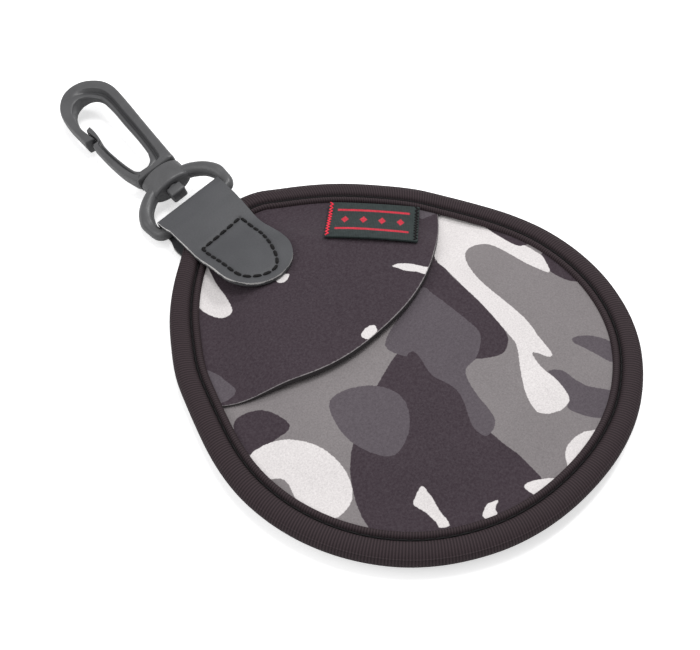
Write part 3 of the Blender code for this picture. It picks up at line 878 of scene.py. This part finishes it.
def buildBinding(look):
    top = tapeTop
    low = pouch["tapeBase"]
    middle = (top + low) / 2
    outer = [(inset, top + rise) for inset, rise in binding["face"]] + [(0.0, middle)]
    under = [(inset, 2 * middle - height) for inset, height in reversed(outer[:-1])]
    groove = [(pouch["seamInset"] + side * binding["grooveWidth"], drop)
              for side, drop in ((-1, 0.0), (0, binding["grooveDrop"]), (1, 0.0))]
    wall = [(pouch["tape"], 0.0), *groove, (pouch["tapeWidth"] - binding["wallClear"], 0.0)]
    inner = ([(inset, low + pouch["tape"] + drop) for inset, drop in reversed(wall)]
             + [(inset, top - pouch["tape"] - drop) for inset, drop in wall])
    profile = outer + under + inner
    often, seldom = binding["puffs"]
    rings = []
    for step in range(binding["steps"]):
        angle = tau * step / binding["steps"]
        puff = 1 + binding["puff"] * sin(angle * often) * sin(angle * seldom + 1)
        rings.append([Vector((*rimPoint(angle, inset), middle + (height - middle) * puff))
                      for inset, height in profile])
    # Painted shade along the seam's crease, for the tape's look
    creaseShade = [max(0.0, 1 - abs(inset - binding["creaseShadeInset"]) / binding["creaseShadeWidth"])
              for inset, _ in profile]
    tape = ringPiece("edgeTape", rings, True, [creaseShade] * len(rings))
    shade(tape, binding["smooth"])
    # Length along the edge, for the ribs: a whole number of ribs closes the ring
    lengths = lengthsAlong([rimPoint(tau * at / rimSteps, binding["ribInset"])
                            for at in range(rimSteps + 1)])
    whole = round(lengths[-1] / binding["ribs"]) * binding["ribs"]
    angles = [atan2(vertex.co.x, vertex.co.y) % tau for vertex in tape.data.vertices]
    places = np.interp(angles, np.linspace(0, tau, rimSteps + 1), lengths)
    pointValues(tape, "ribPlace", places / lengths[-1] * whole)
    giveLooks(tape, tapeLook())
    dress(tape, "grosgrain", ["edge_binding"], "pouch")
    rows = (("frontSeam", "binding_front_stitching", top - binding["threadDrop"], 1),
            ("backSeam", "binding_back_stitching", low + binding["threadDrop"], -1))
    for name, node, height, side in rows:
        path = [Vector((*rimPoint(tau * at / binding["steps"], pouch["seamInset"]), height))
                for at in range(binding["steps"])]
        seamPiece(name, "black_thread", node, path, binding["thread"], look, side)


blackThread = threadLook("blackThread", (0.005, 0.0045, 0.005), 0.7)
buildBinding(blackThread)
print("binding made")


# Woven label

label = {
    "length": 0.0238,
    "width": 0.0165,
    "thick": 0.0008,
    "bearing": radians(40.02),
    "inset": 0.0171,
    "turn": radians(-51.2),
    "lift": 0.0006,  # how far the side by the edge stands off
    "otherLift": 0.0003,
    "grid": (48, 32),
    "cornerRound": 0.0003,
    "cornerAngle": 55,
    "smooth": 50,
    "thread": (0.0002, 0.0011, 0.0001),
    "seamRise": 0.00012,
    "seamMargin": 0.0004,
    "zigzags": 22,
    "zigzagReach": 0.00038,
    "zigzagInset": 0.0007,
    # Lines, diamonds and the bare ends of their rows, as shares of the label; last, how crisp
    "lines": (0.3, 0.035, 60),  # from the middle, half the width
    "diamonds": (5, 0.13, 0.55, 30),  # how many, half the height, slope
    "ends": (0.4, 80),
    "slub": (900, 3.0, 0.7),
    "relief": (0.5, 0.0001),
    "wefts": 34,
    "warps": 56,
    "ground": ((0.008, 0.012, 0.012), (0.04, 0.056, 0.055)),
    "redThread": ((0.3, 0.008, 0.02), (0.8, 0.04, 0.075)),
}


def labelPoint(along, across):
    run = Vector((cos(label["turn"]), sin(label["turn"])))
    side = Vector((-run.y, run.x))
    return rimPoint(label["bearing"], label["inset"]) + run * along + side * across


def labelRest(u, v, spot):
    # Height of the ribbon's under side, whose long sides lift a little between the sewn ends
    free = sin(pi * u)
    lift = label["lift"] * v ** 2 * mix(0.5, 1.0, free)
    return (flapHigh(spot.x, spot.y) + pouch["gap"] + lift
            + label["otherLift"] * (1 - v) ** 3 * free)


def labelLook():
    look, link, shader = newLook("wovenLabel", (0.022, 0.034, 0.034), 0.65,
                                 Specular_IOR_Level=0.25)
    spot = link.node("ShaderNodeUVMap", {"uv_map": "UVMap"})
    parts = link.node("ShaderNodeSeparateXYZ", None, {0: spot})
    u = Link(link.tree, parts.socket.node.outputs[0])
    v = Link(link.tree, parts.socket.node.outputs[1])
    # Two thin lines and a row of small diamonds, woven in red
    far, half, crisp = label["lines"]
    lines = (half - abs(abs(v - 0.5) - far)) * crisp
    count, half, slope, crisp = label["diamonds"]
    cell = link.maths("FRACT", u * count + 0.5) - 0.5
    diamonds = (half - abs(cell) * slope - abs(v - 0.5)) * crisp
    half, crisp = label["ends"]
    ends = (half - abs(u - 0.5)) * crisp
    red = link.maths("MAXIMUM", lines, diamonds).clamped() * ends.clamped()
    weft = link.maths("SINE", v * (tau * label["wefts"])) * 0.5 + 0.5
    warp = link.maths("SINE", u * (tau * label["warps"])) * 0.5 + 0.5
    slub = noise(link, objectPlace(link), *label["slub"])
    weave = (weft * 0.45 + warp * 0.25 + slub * 0.9 - 0.3).clamped()
    tones = (weave.between(*label[key]) for key in ("ground", "redThread"))
    feed(shader, Base_Color=red.between(*tones),
         Normal=bump(link, weave + red * 0.5, *label["relief"]))
    return look


def buildLabel(black):
    def place(u, v):
        spot = labelPoint((u - 0.5) * label["length"], (v - 0.5) * label["width"])
        return spot.x, spot.y, labelRest(u, v, spot) + label["thick"] / 2

    ribbon = gridPiece("wovenRibbon", *label["grid"], place)
    giveLooks(ribbon, labelLook())
    modify(ribbon, "SOLIDIFY", thickness=label["thick"], offset=0, use_rim=True)
    bevel(ribbon, label["cornerRound"], 3, label["cornerAngle"])
    shade(ribbon, label["smooth"])
    dress(ribbon, "label_weave", ["woven_label"], "pouch")
    red = threadLook("redThread", (0.62, 0.025, 0.05), 0.5)
    for name, node, side, slot, look in (
            ("upperEndSeam", "label_upper_stitching", -1, "red_thread", red),
            ("lowerEndSeam", "label_lower_stitching", 1, "black_thread", black)):
        path = []
        for at in range(label["zigzags"] + 1):
            across = (at / label["zigzags"] - 0.5) * (label["width"] - 2 * label["seamMargin"])
            along = (side * (label["length"] / 2 - label["zigzagInset"])
                     + label["zigzagReach"] * (1 if at % 2 else -1))
            spot = labelPoint(along, across)
            rest = labelRest(0.5 + along / label["length"], 0.5 + across / label["width"], spot)
            path.append(Vector((*spot, rest + label["thick"] + label["seamRise"])))
        seamPiece(name, slot, node, path, label["thread"], look, closed=False)


buildLabel(blackThread)
print("label made")


# Leather tab

strap = {
    "lean": radians(8.2),
    "roll": radians(14.0),
    "bar": (-0.0032, 0.0727, 0.0059),
    "leather": 0.0012,
    "half": 0.01,
    "frontLeaf": 0.0364,
    "backLeaf": 0.0345,
    "foldRadius": 0.00275,
    "foldSlack": 0.0003,
    "earlyRoll": 0.5,  # share of the twist that the leaf has where it leaves the pouch
    "settle": 0.004,
    "earlyRun": (-3.6, 2.8),  # where that twist begins and over what run, in settles
    "rowStep": 0.0026,
    "tipSteps": 8,
    "foldSteps": 8,
    "across": 70,
    "tipHalf": 0.0004,  # half width of the leaf at its very tip
    "backDrop": 0.0005,  # how far the back leaf lies under the tape
    "joins": ((-0.5, 0.5, 0.55), (-0.3, 0.85, 0.85)),  # rows before and after the fold
    "stitchStart": 0.0114,
    "stitchEnd": 0.0341,
    "stitchHalf": 0.0073,
    "stitchShares": ((-0.99, 0.13), (0.88, 0.0), (0.96, 0.12), (0.96, 0.34), (0.86, 0.53),
                     (0.73, 0.7), (0.55, 0.86), (0.3, 0.97), (0.03, 1.0), (-0.27, 0.99),
                     (-0.6, 0.94), (-0.85, 0.86), (-0.97, 0.74), (-1.0, 0.56), (-1.0, 0.34)),
    "thread": (0.00042, 0.0026, 0.0013),
    "backThread": (0.0002, 0.0026, 0.00045),
    "backSeamHeight": 0.00022,
    "seamRise": 0.0001,
    "seamStep": 0.0004,
    "dent": 0.00022,  # how far the seam pulls the leather in
    "dentWidth": 0.0008,
    "holeRadius": 0.0003,
    "holeShade": 0.85,
    "besideWidth": 0.0005,
    "besideShade": 0.25,
    "edgeRound": 0.00034,
    "edgeAngle": 60,
    "smooth": 45,
    "pores": 1150,
    "grain": (2400, 3.0, 0.6),
    "cloud": (90, 3.0),
    "relief": (0.35, 0.0001),
    "fibre": (2800, 3.0, 0.7),
    "patches": (230, 2.0, 0.6),
    "fibreRelief": (0.5, 0.00012),
    "leatherTones": ((0.046, 0.047, 0.051), (0.088, 0.089, 0.096)),
    "holeShadeTone": (0.01, 0.01, 0.011),
    "fibreTones": ((0.03, 0.031, 0.033), (0.13, 0.13, 0.135)),
    "edgeHighlightTone": (0.66, 0.65, 0.64),
}
strapFrame = Matrix.Translation(strap["bar"]) @ Matrix.Rotation(-strap["lean"], 4, "Z")
rolledFrame = strapFrame @ Matrix.Rotation(-strap["roll"], 4, "Y")


def leafHalf(pastTip):
    half = strap["half"]
    if pastTip >= half:
        return half
    return max(strap["tipHalf"], sqrt(max(half ** 2 - (half - pastTip) ** 2, 0.0)))


def leafRest(along, half):
    # Highest point of the pouch under a stretch of the front leaf
    highest = 0.0
    for shift in (-1, 0, 1):
        for side in (-1.0, -0.5, 0.0, 0.5, 1.0):
            point = strapFrame @ Vector((side * half, along + shift * strap["rowStep"], 0))
            inside = depth(point.x, point.y)
            if inside < 0:
                continue
            onTape = inside < pouch["tapeWidth"] + pouch["gap"]
            highest = max(highest, tapeTop if onTape else flapHigh(point.x, point.y))
    return highest


def tabRows():
    # Middle of the leather: along, height, half width, share of the roll
    barZ = strap["bar"][2]
    thick = strap["leather"]
    half = strap["half"]
    radius = strap["foldRadius"]
    settle = strap["settle"]

    def places(length):
        tip = [half * (1 - cos(pi / 2 * step / strap["tipSteps"]))
               for step in range(strap["tipSteps"] + 1)]
        steps = ceil((length - half) / strap["rowStep"])
        return tip + [mix(half, length, step / steps) for step in range(1, steps + 1)]

    rows = []
    for place in places(strap["frontLeaf"] - settle):
        along = place - strap["frontLeaf"]
        height = leafRest(along, leafHalf(place)) + pouch["gap"] + thick / 2 - barZ
        # The leather begins to twist before the fold, lifting as it does to clear the edge
        roll = strap["earlyRoll"] * ease(along, *(settle * share for share in strap["earlyRun"]))
        height += roll * half * sin(strap["roll"])
        rows.append((along, height, leafHalf(place), roll))
    before, after = strap["joins"]
    rows.append((settle * before[0], mix(rows[-1][1], radius, before[1]), half,
                 mix(strap["earlyRoll"], 1.0, before[2])))
    for step in range(strap["foldSteps"] + 1):
        turn = pi / 2 - pi * step / strap["foldSteps"]
        rows.append((strap["foldSlack"] + radius * cos(turn), radius * sin(turn), half, 1.0))
    floor = pouch["tapeBase"] - strap["backDrop"] - thick / 2 - barZ
    rows.append((settle * after[0], mix(floor, -radius, after[1]), half, after[2]))
    back = [(place - strap["backLeaf"], floor, leafHalf(place), 0.0)
            for place in places(strap["backLeaf"] - settle)]
    return rows + list(reversed(back))


def stitchPath():
    # A straight row by the fold and a round one along the tip, seen from the front
    places = [(across * strap["stitchHalf"],
               -mix(strap["stitchStart"], strap["stitchEnd"], along), 0)
              for across, along in strap["stitchShares"]]
    curve = smoothPath(places[1:] + places[:1], 3, False)
    return [Vector((x, y)) for x, y, _ in curve]


def nearPath(x, y, path):
    point = Vector((x, y))
    best = 1.0
    for start, end in looped(path):
        run = end - start
        share = min(max((point - start).dot(run) / run.length_squared, 0.0), 1.0)
        best = min(best, (point - start - run * share).length)
    return best


def leatherLook():
    look, link, shader = newLook("slateLeather", (0.065, 0.068, 0.075), 0.5,
                                 Specular_IOR_Level=0.35)
    place = objectPlace(link)
    pores = link.node("ShaderNodeTexVoronoi", {"feature": "DISTANCE_TO_EDGE"},
                      {"Vector": place, "Scale": strap["pores"]})
    grain = noise(link, place, *strap["grain"])
    cloud = noise(link, place, *strap["cloud"])
    leather = (cloud * 0.75 + grain * 0.25).clamped().between(*strap["leatherTones"])
    crack = link.maths("MINIMUM", pores * 6, 1.0)
    # Painted shade in the needle holes and beside the seam darkens the leather
    feed(shader, Roughness=cloud * 0.18 + 0.44,
         Base_Color=link.attribute("seamShade").clamped().between(leather, strap["holeShadeTone"]),
         Normal=bump(link, crack * 0.5 + grain * 0.6, *strap["relief"]))
    return look


def rawEdgeLook():
    # Dyed fibre, with a painted highlight in ragged pale patches along the upper corner
    look, link, shader = newLook("rawEdge", (0.1, 0.1, 0.1), 0.85, Specular_IOR_Level=0.2)
    place = objectPlace(link)
    fibre = noise(link, place, *strap["fibre"])
    patches = noise(link, place, *strap["patches"])
    level = link.attribute("upperEdgeHighlight") + (fibre - 0.5) * 0.7 + (patches - 0.5) * 1.6
    highlight = ((level - 0.5) * 5).clamped()
    feed(shader, Base_Color=highlight.between(fibre.between(*strap["fibreTones"]), strap["edgeHighlightTone"]),
         Normal=bump(link, fibre, *strap["fibreRelief"]))
    return look


def seamLine():
    # The seam as short steps, and how far along it each of them is
    steps = []
    for one, two in looped(stitchPath()):
        count = max(1, round((two - one).length / strap["seamStep"]))
        steps += [one.lerp(two, step / count) for step in range(count)]
    return np.array([tuple(step) for step in steps]), lengthsAlong(steps + steps[:1])


def nearest(spots, marks):
    return np.min(np.hypot(*(spots[:, None] - marks[None]).transpose(2, 0, 1)), axis=1)


def seamShades(spots):
    # Painted shade in the needle holes and a soft painted shade beside the thread, from places on
    # the flat leaf
    steps, runs = seamLine()
    stitches = round(runs[-1] / strap["thread"][1])
    pitch = runs[-1] / stitches
    holes = np.array([steps[min(np.searchsorted(runs, at * pitch), len(steps) - 1)]
                      for at in range(stitches)])
    hole = np.clip(1.5 - nearest(spots, holes) / strap["holeRadius"], 0, 1)
    beside = np.exp(-(nearest(spots, steps) / strap["besideWidth"]) ** 2)
    return hole * strap["holeShade"] + beside * strap["besideShade"]


def buildTab(look):
    rows = tabRows()
    curve = smoothPath([row[:3] for row in rows], 8, False)
    rolls = smoothPath([(row[3], 0, 0) for row in rows], 8, False)
    path = stitchPath()
    turnRow = max(range(len(curve)), key=lambda at: curve[at].x)
    last = len(curve) - 1

    def place(u, v):
        at = round(u * last)
        along, height, half = curve[at]
        side = (2 * v - 1) * half
        roll = Matrix.Rotation(-strap["roll"] * min(max(rolls[at].x, 0), 1), 3, "Y")
        pressed = exp(-(nearPath(side, along, path) / strap["dentWidth"]) ** 2)
        height += strap["dent"] * pressed * (-1 if at < turnRow else 1)
        return strapFrame @ (roll @ Vector((side, along, height)))

    tab = gridPiece("leatherStrap", last, strap["across"], place)
    giveLooks(tab, leatherLook(), rawEdgeLook())
    middles = [vertex.co.copy() for vertex in tab.data.vertices]
    count = len(middles)
    modify(tab, "SOLIDIFY", thickness=strap["leather"], offset=0, use_rim=True,
           use_even_offset=True, material_offset_rim=1)
    # The wall's two shells keep the order of the middle's points: which one is the front
    shells = tab.data.vertices
    first = sum(shells[at].co.z - shells[at + count].co.z
                for at in range(count) if middles[at].z > strap["bar"][2]) > 0
    # The front shell's corner gets the painted highlight
    pointValues(tab, "upperEdgeHighlight", [(at < count) == first for at in range(len(shells))])
    bevel(tab, strap["edgeRound"], 3, strap["edgeAngle"], material=1)
    closeMesh(tab)
    shade(tab, strap["smooth"])
    back = strapFrame.inverted()
    flat = np.array([tuple((back @ vertex.co).xy) for vertex in tab.data.vertices])
    pointValues(tab, "seamShade", seamShades(flat))
    dress(tab, "leather", ["leather_tab"], "pouch")

    steps, _ = seamLine()
    front = np.array([tuple(row) for row in curve[:turnRow] if row.x < -strap["settle"]])
    above = strap["leather"] / 2 - strap["dent"] + strap["seamRise"]
    surface = [strapFrame @ Vector((x, y, np.interp(y, front[:, 0], front[:, 1]) + above))
               for x, y in steps]
    seamPiece("tabFrontSeam", "black_thread", "tab_front_stitching", surface,
              strap["thread"], look)
    below = [strapFrame @ Vector((x, y, strap["backSeamHeight"] - strap["bar"][2]))
             for x, y in steps]
    seamPiece("tabBackSeam", "black_thread", "tab_back_stitching", below,
              strap["backThread"], look, -1)


buildTab(blackThread)
print("tab made")


# Swivel loop, snap hook and gate

loop = {
    "half": 0.01185,
    "rise": 0.0133,
    "wire": 0.00165,
    "shares": ((0.0, 0.0), (0.6, 0.0), (0.835, 0.0), (0.958, 0.065), (1.0, 0.245),
               (0.97, 0.49), (0.825, 0.72), (0.56, 0.914), (0.255, 1.0), (0.0, 1.01)),
    "collarStart": 0.0106,
    "collarLength": 0.0069,
    "collarWide": 0.0061,
    "collarThick": 0.0033,
    "shank": 0.0016,
    "clear": 0.0003,
    "wireSwell": 0.24,  # how much thicker the bow is than the bar
    "swellFrom": (0.003, 0.0036),
    "wireSides": 16,
    "collarSides": 48,
    "collarRound": 0.0008,
    "boreSides": 32,
    "boreReach": 0.004,
    "smooth": 38,
}
hook = {
    "base": 0.0178,
    "length": 0.0445,
    "half": 0.0093,
    "thick": 0.0046,
    # Outer and inner side by side, as shares of half across and of length along
    "outer": ((-0.63, 0.004), (-0.3, 0.004), (0.1, 0.004), (0.45, 0.004), (0.63, 0.006),
              (0.655, 0.05), (0.71, 0.207), (0.775, 0.387), (0.85, 0.573), (0.9, 0.735),
              (0.88, 0.809), (0.785, 0.872), (0.61, 0.926), (0.365, 0.973), (0.11, 0.996),
              (-0.14, 1.0), (-0.42, 0.984), (-0.68, 0.939), (-0.87, 0.876), (-0.97, 0.8),
              (-1.0, 0.712), (-1.0, 0.61), (-1.0, 0.519)),
    "inner": ((-0.625, 0.034), (-0.425, 0.085), (-0.13, 0.085), (0.0, 0.1), (0.085, 0.121),
              (0.15, 0.155), (0.205, 0.195), (0.27, 0.33), (0.31, 0.5), (0.355, 0.634),
              (0.355, 0.724), (0.33, 0.765), (0.27, 0.795), (0.18, 0.82), (0.065, 0.84),
              (-0.06, 0.852), (-0.18, 0.858), (-0.4, 0.843), (-0.58, 0.798), (-0.69, 0.73),
              (-0.745, 0.656), (-0.735, 0.6), (-0.675, 0.503)),
    # From the outer side to the inner one: share across, share of half the thickness
    "section": ((0.0, 0.34), (0.02, 0.66), (0.07, 0.9), (0.14, 1.0), (0.46, 1.0),
                (0.53, 0.93), (0.6, 0.6), (0.66, 0.36), (0.72, 0.32), (0.78, 0.4),
                (0.84, 0.46), (0.93, 0.45), (0.98, 0.36), (1.0, 0.2)),
    "solidFrom": 0.52,  # past this share of its length the groove fades out
    "solidRun": 0.26,
    "endShrink": 0.85,
    "endReach": 0.0002,
    "endShade": (0.85, 0.25),  # painted shade of a bar's last ring and of the one before it
    "taperRun": 0.4,
    "gateRoot": 0.0044,  # the gate's thickness at its root and at its tip
    "gateTip": 0.0036,
    "gateOuter": ((-0.66, 0.01), (-0.72, 0.035), (-0.77, 0.075), (-0.83, 0.13),
                  (-0.865, 0.196), (-0.89, 0.297), (-0.89, 0.409), (-0.86, 0.476),
                  (-0.67, 0.474), (-0.645, 0.505), (-0.696, 0.583), (-0.694, 0.604)),
    "gateInner": ((-0.3, 0.08), (-0.4, 0.097), (-0.47, 0.12), (-0.51, 0.16),
                  (-0.545, 0.21), (-0.58, 0.29), (-0.6, 0.364), (-0.595, 0.44),
                  (-0.555, 0.485), (-0.52, 0.54), (-0.51, 0.59), (-0.52, 0.618)),
    "headWide": 0.0022,
    "headThick": 0.0018,
    "headLength": 0.0031,
    "headRound": 0.0006,
    "shankIn": 0.001,  # how far the shank starts inside the head
    "shankPast": 0.0022,  # and how far it runs into the hook
    "shankSides": 28,
    "smooth": 32,
    "gateBend": ((-0.58, 0.05), (-0.7, 0.17)),  # where the gate's bend begins and ends
    "groove": (0.69, 0.11),  # the groove's painted shade: its middle and half its width, as shares across
    "grain": (2600, 2.0, 0.6),
    "cloud": (140, 3.0, 0.6),
    "relief": (0.3, 0.00012),
    "faceTones": ((0.05, 0.05, 0.052), (0.108, 0.108, 0.112)),
    "grooveShadeTone": (0.022, 0.022, 0.024),
}


def plasticLook():
    look, link, shader = newLook("hookPlastic", (0.072, 0.072, 0.075), 0.42,
                                 Specular_IOR_Level=0.5)
    place = objectPlace(link)
    grain = noise(link, place, *hook["grain"])
    cloud = noise(link, place, *hook["cloud"])
    face = (grain * 0.35 + cloud * 0.65).clamped().between(*hook["faceTones"])
    # The groove and the bars' ends get painted shade
    feed(shader, Roughness=cloud * 0.16 + 0.3,
         Base_Color=link.attribute("grooveShade").clamped().between(face, hook["grooveShadeTone"]),
         Normal=bump(link, grain * 0.8 + cloud * 0.4, *hook["relief"]))
    return look


def barrel(name, start, length, wide, thick, sides, rounding=None):
    clearSelection()
    bpy.ops.mesh.primitive_cylinder_add(vertices=sides, radius=1, depth=length,
                                        location=(0, start + length / 2, 0),
                                        rotation=(pi / 2, 0, 0))
    piece = bpy.context.object
    piece.name = name
    piece.scale = (wide, thick, 1)
    applyPlace(piece)
    if rounding:
        bevel(piece, rounding, 4, 50)
    return piece


def combine(target, tool, operation):
    modify(target, "BOOLEAN", operation=operation, object=tool, solver="EXACT")
    bpy.data.objects.remove(tool, do_unlink=True)


def toPlace(piece, matrix):
    piece.data.transform(matrix)
    piece.data.update()


def finishPlastic(piece, angle, look, node, body=None):
    shade(piece, angle)
    giveLooks(piece, look)
    dress(piece, "hook_plastic", [node], body)


def buildLoop(look):
    right = [(x * loop["half"], y * loop["rise"], 0.0) for x, y in loop["shares"]]
    left = [(-x, y, z) for x, y, z in reversed(right[1:-1])]
    path = smoothPath(right + left, 8, True)
    count = len(path)
    rings = []
    for at, point in enumerate(path):
        along = (path[(at + 1) % count] - path[at - 1]).normalized()
        side = along.cross(Vector((0, 0, 1))).normalized()
        radius = loop["wire"] * (1 + loop["wireSwell"] * ease(point.y, *loop["swellFrom"]))
        rings.append(circle(point, side, Vector((0, 0, 1)), radius, loop["wireSides"]))
    wire = ringPiece("swivelLoop", rings, True)
    collar = barrel("collarGuide", loop["collarStart"], loop["collarLength"],
                    loop["collarWide"], loop["collarThick"], loop["collarSides"],
                    loop["collarRound"])
    combine(wire, collar, "UNION")
    boreRadius = loop["shank"] + loop["clear"]
    bore = barrel("boreGuide", loop["collarStart"] - loop["boreReach"],
                  loop["collarLength"] + 2 * loop["boreReach"], boreRadius, boreRadius,
                  loop["boreSides"])
    combine(wire, bore, "DIFFERENCE")
    toPlace(wire, rolledFrame)
    finishPlastic(wire, loop["smooth"], look, "swivel_loop", "loop")


def barPiece(name, outer, inner, startThick, endThick):
    # A moulded bar between two outlines, thicker on its outer side
    sides = [smoothPath([(x * hook["half"], y * hook["length"], 0) for x, y in side], 6, False)
             for side in (outer, inner)]
    fade = hook["solidFrom"], hook["solidRun"]
    rings = []
    for at, (one, two) in enumerate(zip(*sides)):
        share = at / len(sides[0])
        thick = mix(startThick, endThick, ease(share, 0.0, hook["taperRun"]))
        solid = ease(share, *fade)
        upper = []
        for across, rise in hook["section"]:
            full = dict(hook["section"][:4]).get(round(1 - across, 2), 1.0)
            level = mix(rise, full, solid) if across > 0.5 else rise
            upper.append(one.lerp(two, across) + Vector((0, 0, level * thick / 2)))
        lower = [Vector((p.x, p.y, -p.z)) for p in reversed(upper)]
        rings.append(upper + lower)
    for end, beside in ((0, 1), (-1, -2)):
        middle = sum(rings[end], Vector()) / len(rings[end])
        away = middle - sum(rings[beside], Vector()) / len(rings[beside])
        small = [middle + (point - middle) * hook["endShrink"]
                 + away.normalized() * hook["endReach"] for point in rings[end]]
        rings.insert(0, small) if end == 0 else rings.append(small)
    # Painted shade in the groove and at each bar's end: these faces are made darker than the rest
    middle, half = hook["groove"]
    shadedEnds = dict(zip((len(rings) - 1, len(rings) - 2), hook["endShade"]))
    shades = []
    for ring in range(len(rings)):
        solid = ease((ring - 1) / (len(rings) - 2), *fade)
        upper = [max(shadedEnds.get(ring, 0.0), (1 - abs(across - middle) / half) * (1 - solid))
                 for across, _ in hook["section"]]
        shades.append(upper + upper[::-1])
    return ringPiece(name, rings, False, shades)


def buildHook(look):
    body = barPiece("snapHook", hook["outer"], hook["inner"], hook["thick"], hook["thick"])
    toPlace(body, Matrix.Translation((0, hook["base"], 0)))
    headStart = loop["collarStart"] - loop["clear"] - hook["headLength"]
    shankStart = headStart + hook["shankIn"]
    shank = barrel("shankGuide", shankStart, hook["base"] + hook["shankPast"] - shankStart,
                   loop["shank"], loop["shank"], hook["shankSides"])
    combine(body, shank, "UNION")
    clearSelection()
    bpy.ops.mesh.primitive_cube_add(size=1, location=(0, headStart + hook["headLength"] / 2, 0))
    head = bpy.context.object
    head.scale = (2 * hook["headWide"], hook["headLength"], 2 * hook["headThick"])
    applyPlace(head)
    modify(head, "BEVEL", width=hook["headRound"], segments=3)
    combine(body, head, "UNION")
    toPlace(body, rolledFrame)
    finishPlastic(body, hook["smooth"], look, "snap_hook", "hook")

    gate = barPiece("hookGate", hook["gateOuter"], hook["gateInner"], hook["gateRoot"],
                    hook["gateTip"])
    toPlace(gate, rolledFrame @ Matrix.Translation((0, hook["base"], 0)))
    finishPlastic(gate, hook["smooth"], look, "hook_gate")
    root, bent = (rolledFrame @ Vector((x * hook["half"], hook["base"] + y * hook["length"], 0))
                  for x, y in hook["gateBend"])
    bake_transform(gate)
    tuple(root)
    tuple(bent)


plastic = plasticLook()
buildLoop(plastic)
buildHook(plastic)
print("loop and hook made")

clearSelection()
bpy.context.scene.view_settings.view_transform = "Standard"
